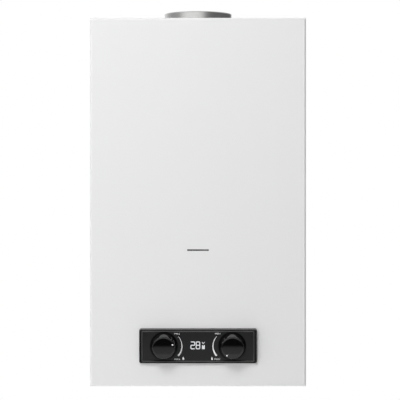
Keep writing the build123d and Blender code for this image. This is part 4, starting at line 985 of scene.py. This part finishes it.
def hex_screw(across, head, shank_r, length):
    """A screw along local Z whose dished hexagon head starts at zero."""
    tip, bevel = 0.8, 0.3
    inner = across * HEX_CROWN
    shank = [round_row(NEAR_AXIS, -length), round_row(shank_r * 0.8, -length),
             round_row(shank_r, tip - length), round_row(shank_r, 0.0)]
    flats = [hex_row(across, 0.0), hex_row(across, head * 0.55), hex_row(across, head * 0.85, inner + bevel)]
    dish = [round_row(inner, head), round_row(inner * 0.75, head), round_row(inner * 0.6, head * 0.7),
            round_row(NEAR_AXIS, head * 0.65)]
    return polar(shank + flats + dish)


def sideways(x, y, z, side):
    """A placement whose local Z points to the right, or to the left where side is negative."""
    return Matrix.Translation((x, y, z)) @ Matrix.Rotation(math.radians(side * 90), 4, "Y")


def screw_piece(name, screws, cad_node):
    make_piece(name, merge(screws), Matrix(), "stainless", nodes=[cad_node], smooth_deg=32.0)


cover_screws = [(hex_screw(across=8.0, head=1.8, shank_r=1.9, length=9.0),
                 sideways(side * X_SIDE, SCREW_Y, SCREW_Z, side)) for side in (-1, 1)]
screw_piece("cover_screw_forms", cover_screws, "cover_screws")
ring_turns = [math.radians(45) + t for t in wheel(RING_COUNT)]
ring_screws = [(hex_screw(across=6.5, head=3.0, shank_r=2.0, length=13.5),
                sideways(RING_X, MID_RUN + RING_R * math.cos(t), Z_PANEL + RING_R * math.sin(t), -1))
               for t in ring_turns]
screw_piece("ring_screw_forms", ring_screws, "diaphragm_screws")


# Camera, in metres

FRAME_WIDTH = 0.6288
CAMERA_RANGE = 2.2
SHIFT_UP = -0.06
FRAME_X, FRAME_Z = 0.0031, -0.2247
camera = bpy.data.cameras.new("camera")
camera.sensor_width = 36.0
camera.lens = camera.sensor_width * CAMERA_RANGE / FRAME_WIDTH
camera.shift_y = SHIFT_UP
viewer = bpy.data.objects.new("camera", camera)
viewer.location = (FRAME_X, Y_FRONT * MM - CAMERA_RANGE, FRAME_Z - SHIFT_UP * FRAME_WIDTH)
viewer.rotation_euler = (math.radians(90), 0, 0)
SCENE.collection.objects.link(viewer)
SCENE.camera = viewer
SCENE.view_settings.view_transform = "Standard"


# Soft lamps, in metres and watts

def softbox(name, location, target, size, power):
    lamp = bpy.data.lights.new(name, "AREA")
    lamp.shape = "RECTANGLE"
    lamp.size, lamp.size_y = size
    lamp.energy = power
    obj = bpy.data.objects.new(name, lamp)
    obj.location = location
    obj.rotation_euler = (Vector(target) - Vector(location)).to_track_quat("-Z", "Y").to_euler()
    obj.visible_glossy = False
    obj.visible_camera = False
    SCENE.collection.objects.link(obj)


softbox("key", (-0.4, -1.9, 0.95), (0, -0.16, -0.2), (0.8, 0.8), 21.2)
softbox("fill", (-1.7, -1.9, -0.5), (0, -0.16, -0.25), (2.0, 2.0), 24.5)
softbox("top", (-0.35, 0.1, 1.6), (0, -0.08, 0.06), (1.2, 0.8), 11.0)
softbox("low", (0.0, 0.1, -1.6), (0, -0.08, -0.5), (1.2, 0.8), 5.0)
softbox("left", (-1.7, 1.4, -0.1), (-0.17, -0.08, -0.23), (1.2, 1.4), 10.0)
softbox("right", (1.7, 1.4, -0.1), (0.17, -0.08, -0.23), (1.2, 1.4), 26.0)


# Pale floor that fades to white with distance where it is seen

FLOOR_Z, FLOOR_REACH = -1.8, 6.0
FADE_START, FADE_END, FADE_LEAST = 1.5, 5.0, 0.75


def light_paths(owner):
    """Whether a ray is the camera's own, and whether it is mirrored or passes through glass."""
    paths = node(owner, "ShaderNodeLightPath")
    mirrored = maths(owner, "MAXIMUM", paths.outputs["Is Glossy Ray"], paths.outputs["Is Transmission Ray"])
    return paths.outputs["Is Camera Ray"], mirrored


floor_mesh = bmesh.new()
for u, v in ((-1, -1), (1, -1), (1, 1), (-1, 1)):
    floor_mesh.verts.new((u * FLOOR_REACH, v * FLOOR_REACH, FLOOR_Z))
floor_mesh.faces.new(floor_mesh.verts)
floor_data = bpy.data.meshes.new("floor")
floor_mesh.to_mesh(floor_data)
floor_mesh.free()
floor = bpy.data.objects.new("floor", floor_data)
paint = MATS["floor_paint"]
far = node(paint, "ShaderNodeVectorMath", operation="LENGTH")
join(paint, place(paint, (1.0, 1.0, 0.0)), far.inputs[0])
fade = spread(paint, far.outputs["Value"], FADE_LEAST, 1.0, FADE_START, FADE_END)
pale = node(paint, "ShaderNodeEmission", Strength=1.0)
seen_pale = node(paint, "ShaderNodeMixShader")
seen = maths(paint, "MAXIMUM", *light_paths(paint))
join(paint, maths(paint, "MULTIPLY", seen, fade), seen_pale.inputs["Fac"])
join(paint, principled(paint).outputs["BSDF"], seen_pale.inputs[1])
join(paint, pale.outputs["Emission"], seen_pale.inputs[2])
join(paint, seen_pale.outputs["Shader"], paint.node_tree.nodes["Material Output"].inputs["Surface"])
floor_data.materials.append(paint)
SCENE.collection.objects.link(floor)


# Studio world: white to the camera, a plain level for the light, and a soft room in the reflections

WHITE, AMBIENT = 1.0, 0.3
# Reflections of the room: where each part begins and ends along a direction, and how bright it is
SIDE_REACH, SIDE_LEVELS = (-0.7, 1.0), (0.4, 0.12)
LOBE_AIM, LOBE_REACH, LOBE_LEVEL = (-0.29, -0.885, 0.37), (0.6, 1.0), 1.25
CEILING_REACH, CEILING_LEVEL = (0.35, 0.75), 1.0
GAP_REACH, GAP_LEVEL = (0.05, 0.075), 0.012
TABLE_REACH, TABLE_LEVELS, TABLE_EDGE = (-0.32, -0.09), (0.8, 0.55), (-0.13, -0.075)
FRONT_REACH = (-0.8, -0.6)
BACK_AIM, BACK_REACH, BACK_LEVEL = (-0.3, 1.0, 0.0), (0.6, 1.13), 1.0

world = bpy.data.worlds.new("studio")
SCENE.world = world
world.use_nodes = True
world.node_tree.nodes.clear()
direction = node(world, "ShaderNodeTexCoord").outputs["Generated"]


def sky_range(value, reach, low=0.0, high=1.0):
    return spread(world, value, low, high, *reach, "SMOOTHSTEP")


def sky_mix(factor, first, second):
    made = node(world, "ShaderNodeMix", data_type="FLOAT")
    join(world, factor, made.inputs["Factor"])
    join(world, first, made.inputs["A"])
    join(world, second, made.inputs["B"])
    return made.outputs["Result"]


def lined_up(aim):
    """How far a direction points along an aim."""
    made = node(world, "ShaderNodeVectorMath", operation="DOT_PRODUCT")
    join(world, direction, made.inputs[0])
    made.inputs[1].default_value = aim
    return made.outputs["Value"]


axes = node(world, "ShaderNodeSeparateXYZ")
join(world, direction, axes.inputs["Vector"])
right, back, up = axes.outputs
sides = sky_range(right, SIDE_REACH, *SIDE_LEVELS)
room = sky_mix(sky_range(lined_up(LOBE_AIM), LOBE_REACH), sides, LOBE_LEVEL)
room = sky_mix(sky_range(up, CEILING_REACH), room, CEILING_LEVEL)
gap = sky_mix(sky_range(up, GAP_REACH), GAP_LEVEL, room)
table = sky_range(up, TABLE_REACH, *TABLE_LEVELS)
ahead = sky_mix(sky_range(up, TABLE_EDGE), table, gap)
room = sky_mix(sky_range(back, FRONT_REACH, 1.0, 0.0), room, ahead)
room = sky_mix(sky_range(lined_up(BACK_AIM), BACK_REACH), room, BACK_LEVEL)
from_camera, from_mirror = light_paths(world)
strength = sky_mix(from_camera, sky_mix(from_mirror, AMBIENT, room), WHITE)
backdrop = node(world, "ShaderNodeBackground")
backdrop.inputs["Color"].default_value = (1.0, 1.0, 1.0, 1.0)
join(world, strength, backdrop.inputs["Strength"])
join(world, backdrop.outputs["Background"], node(world, "ShaderNodeOutputWorld").inputs["Surface"])
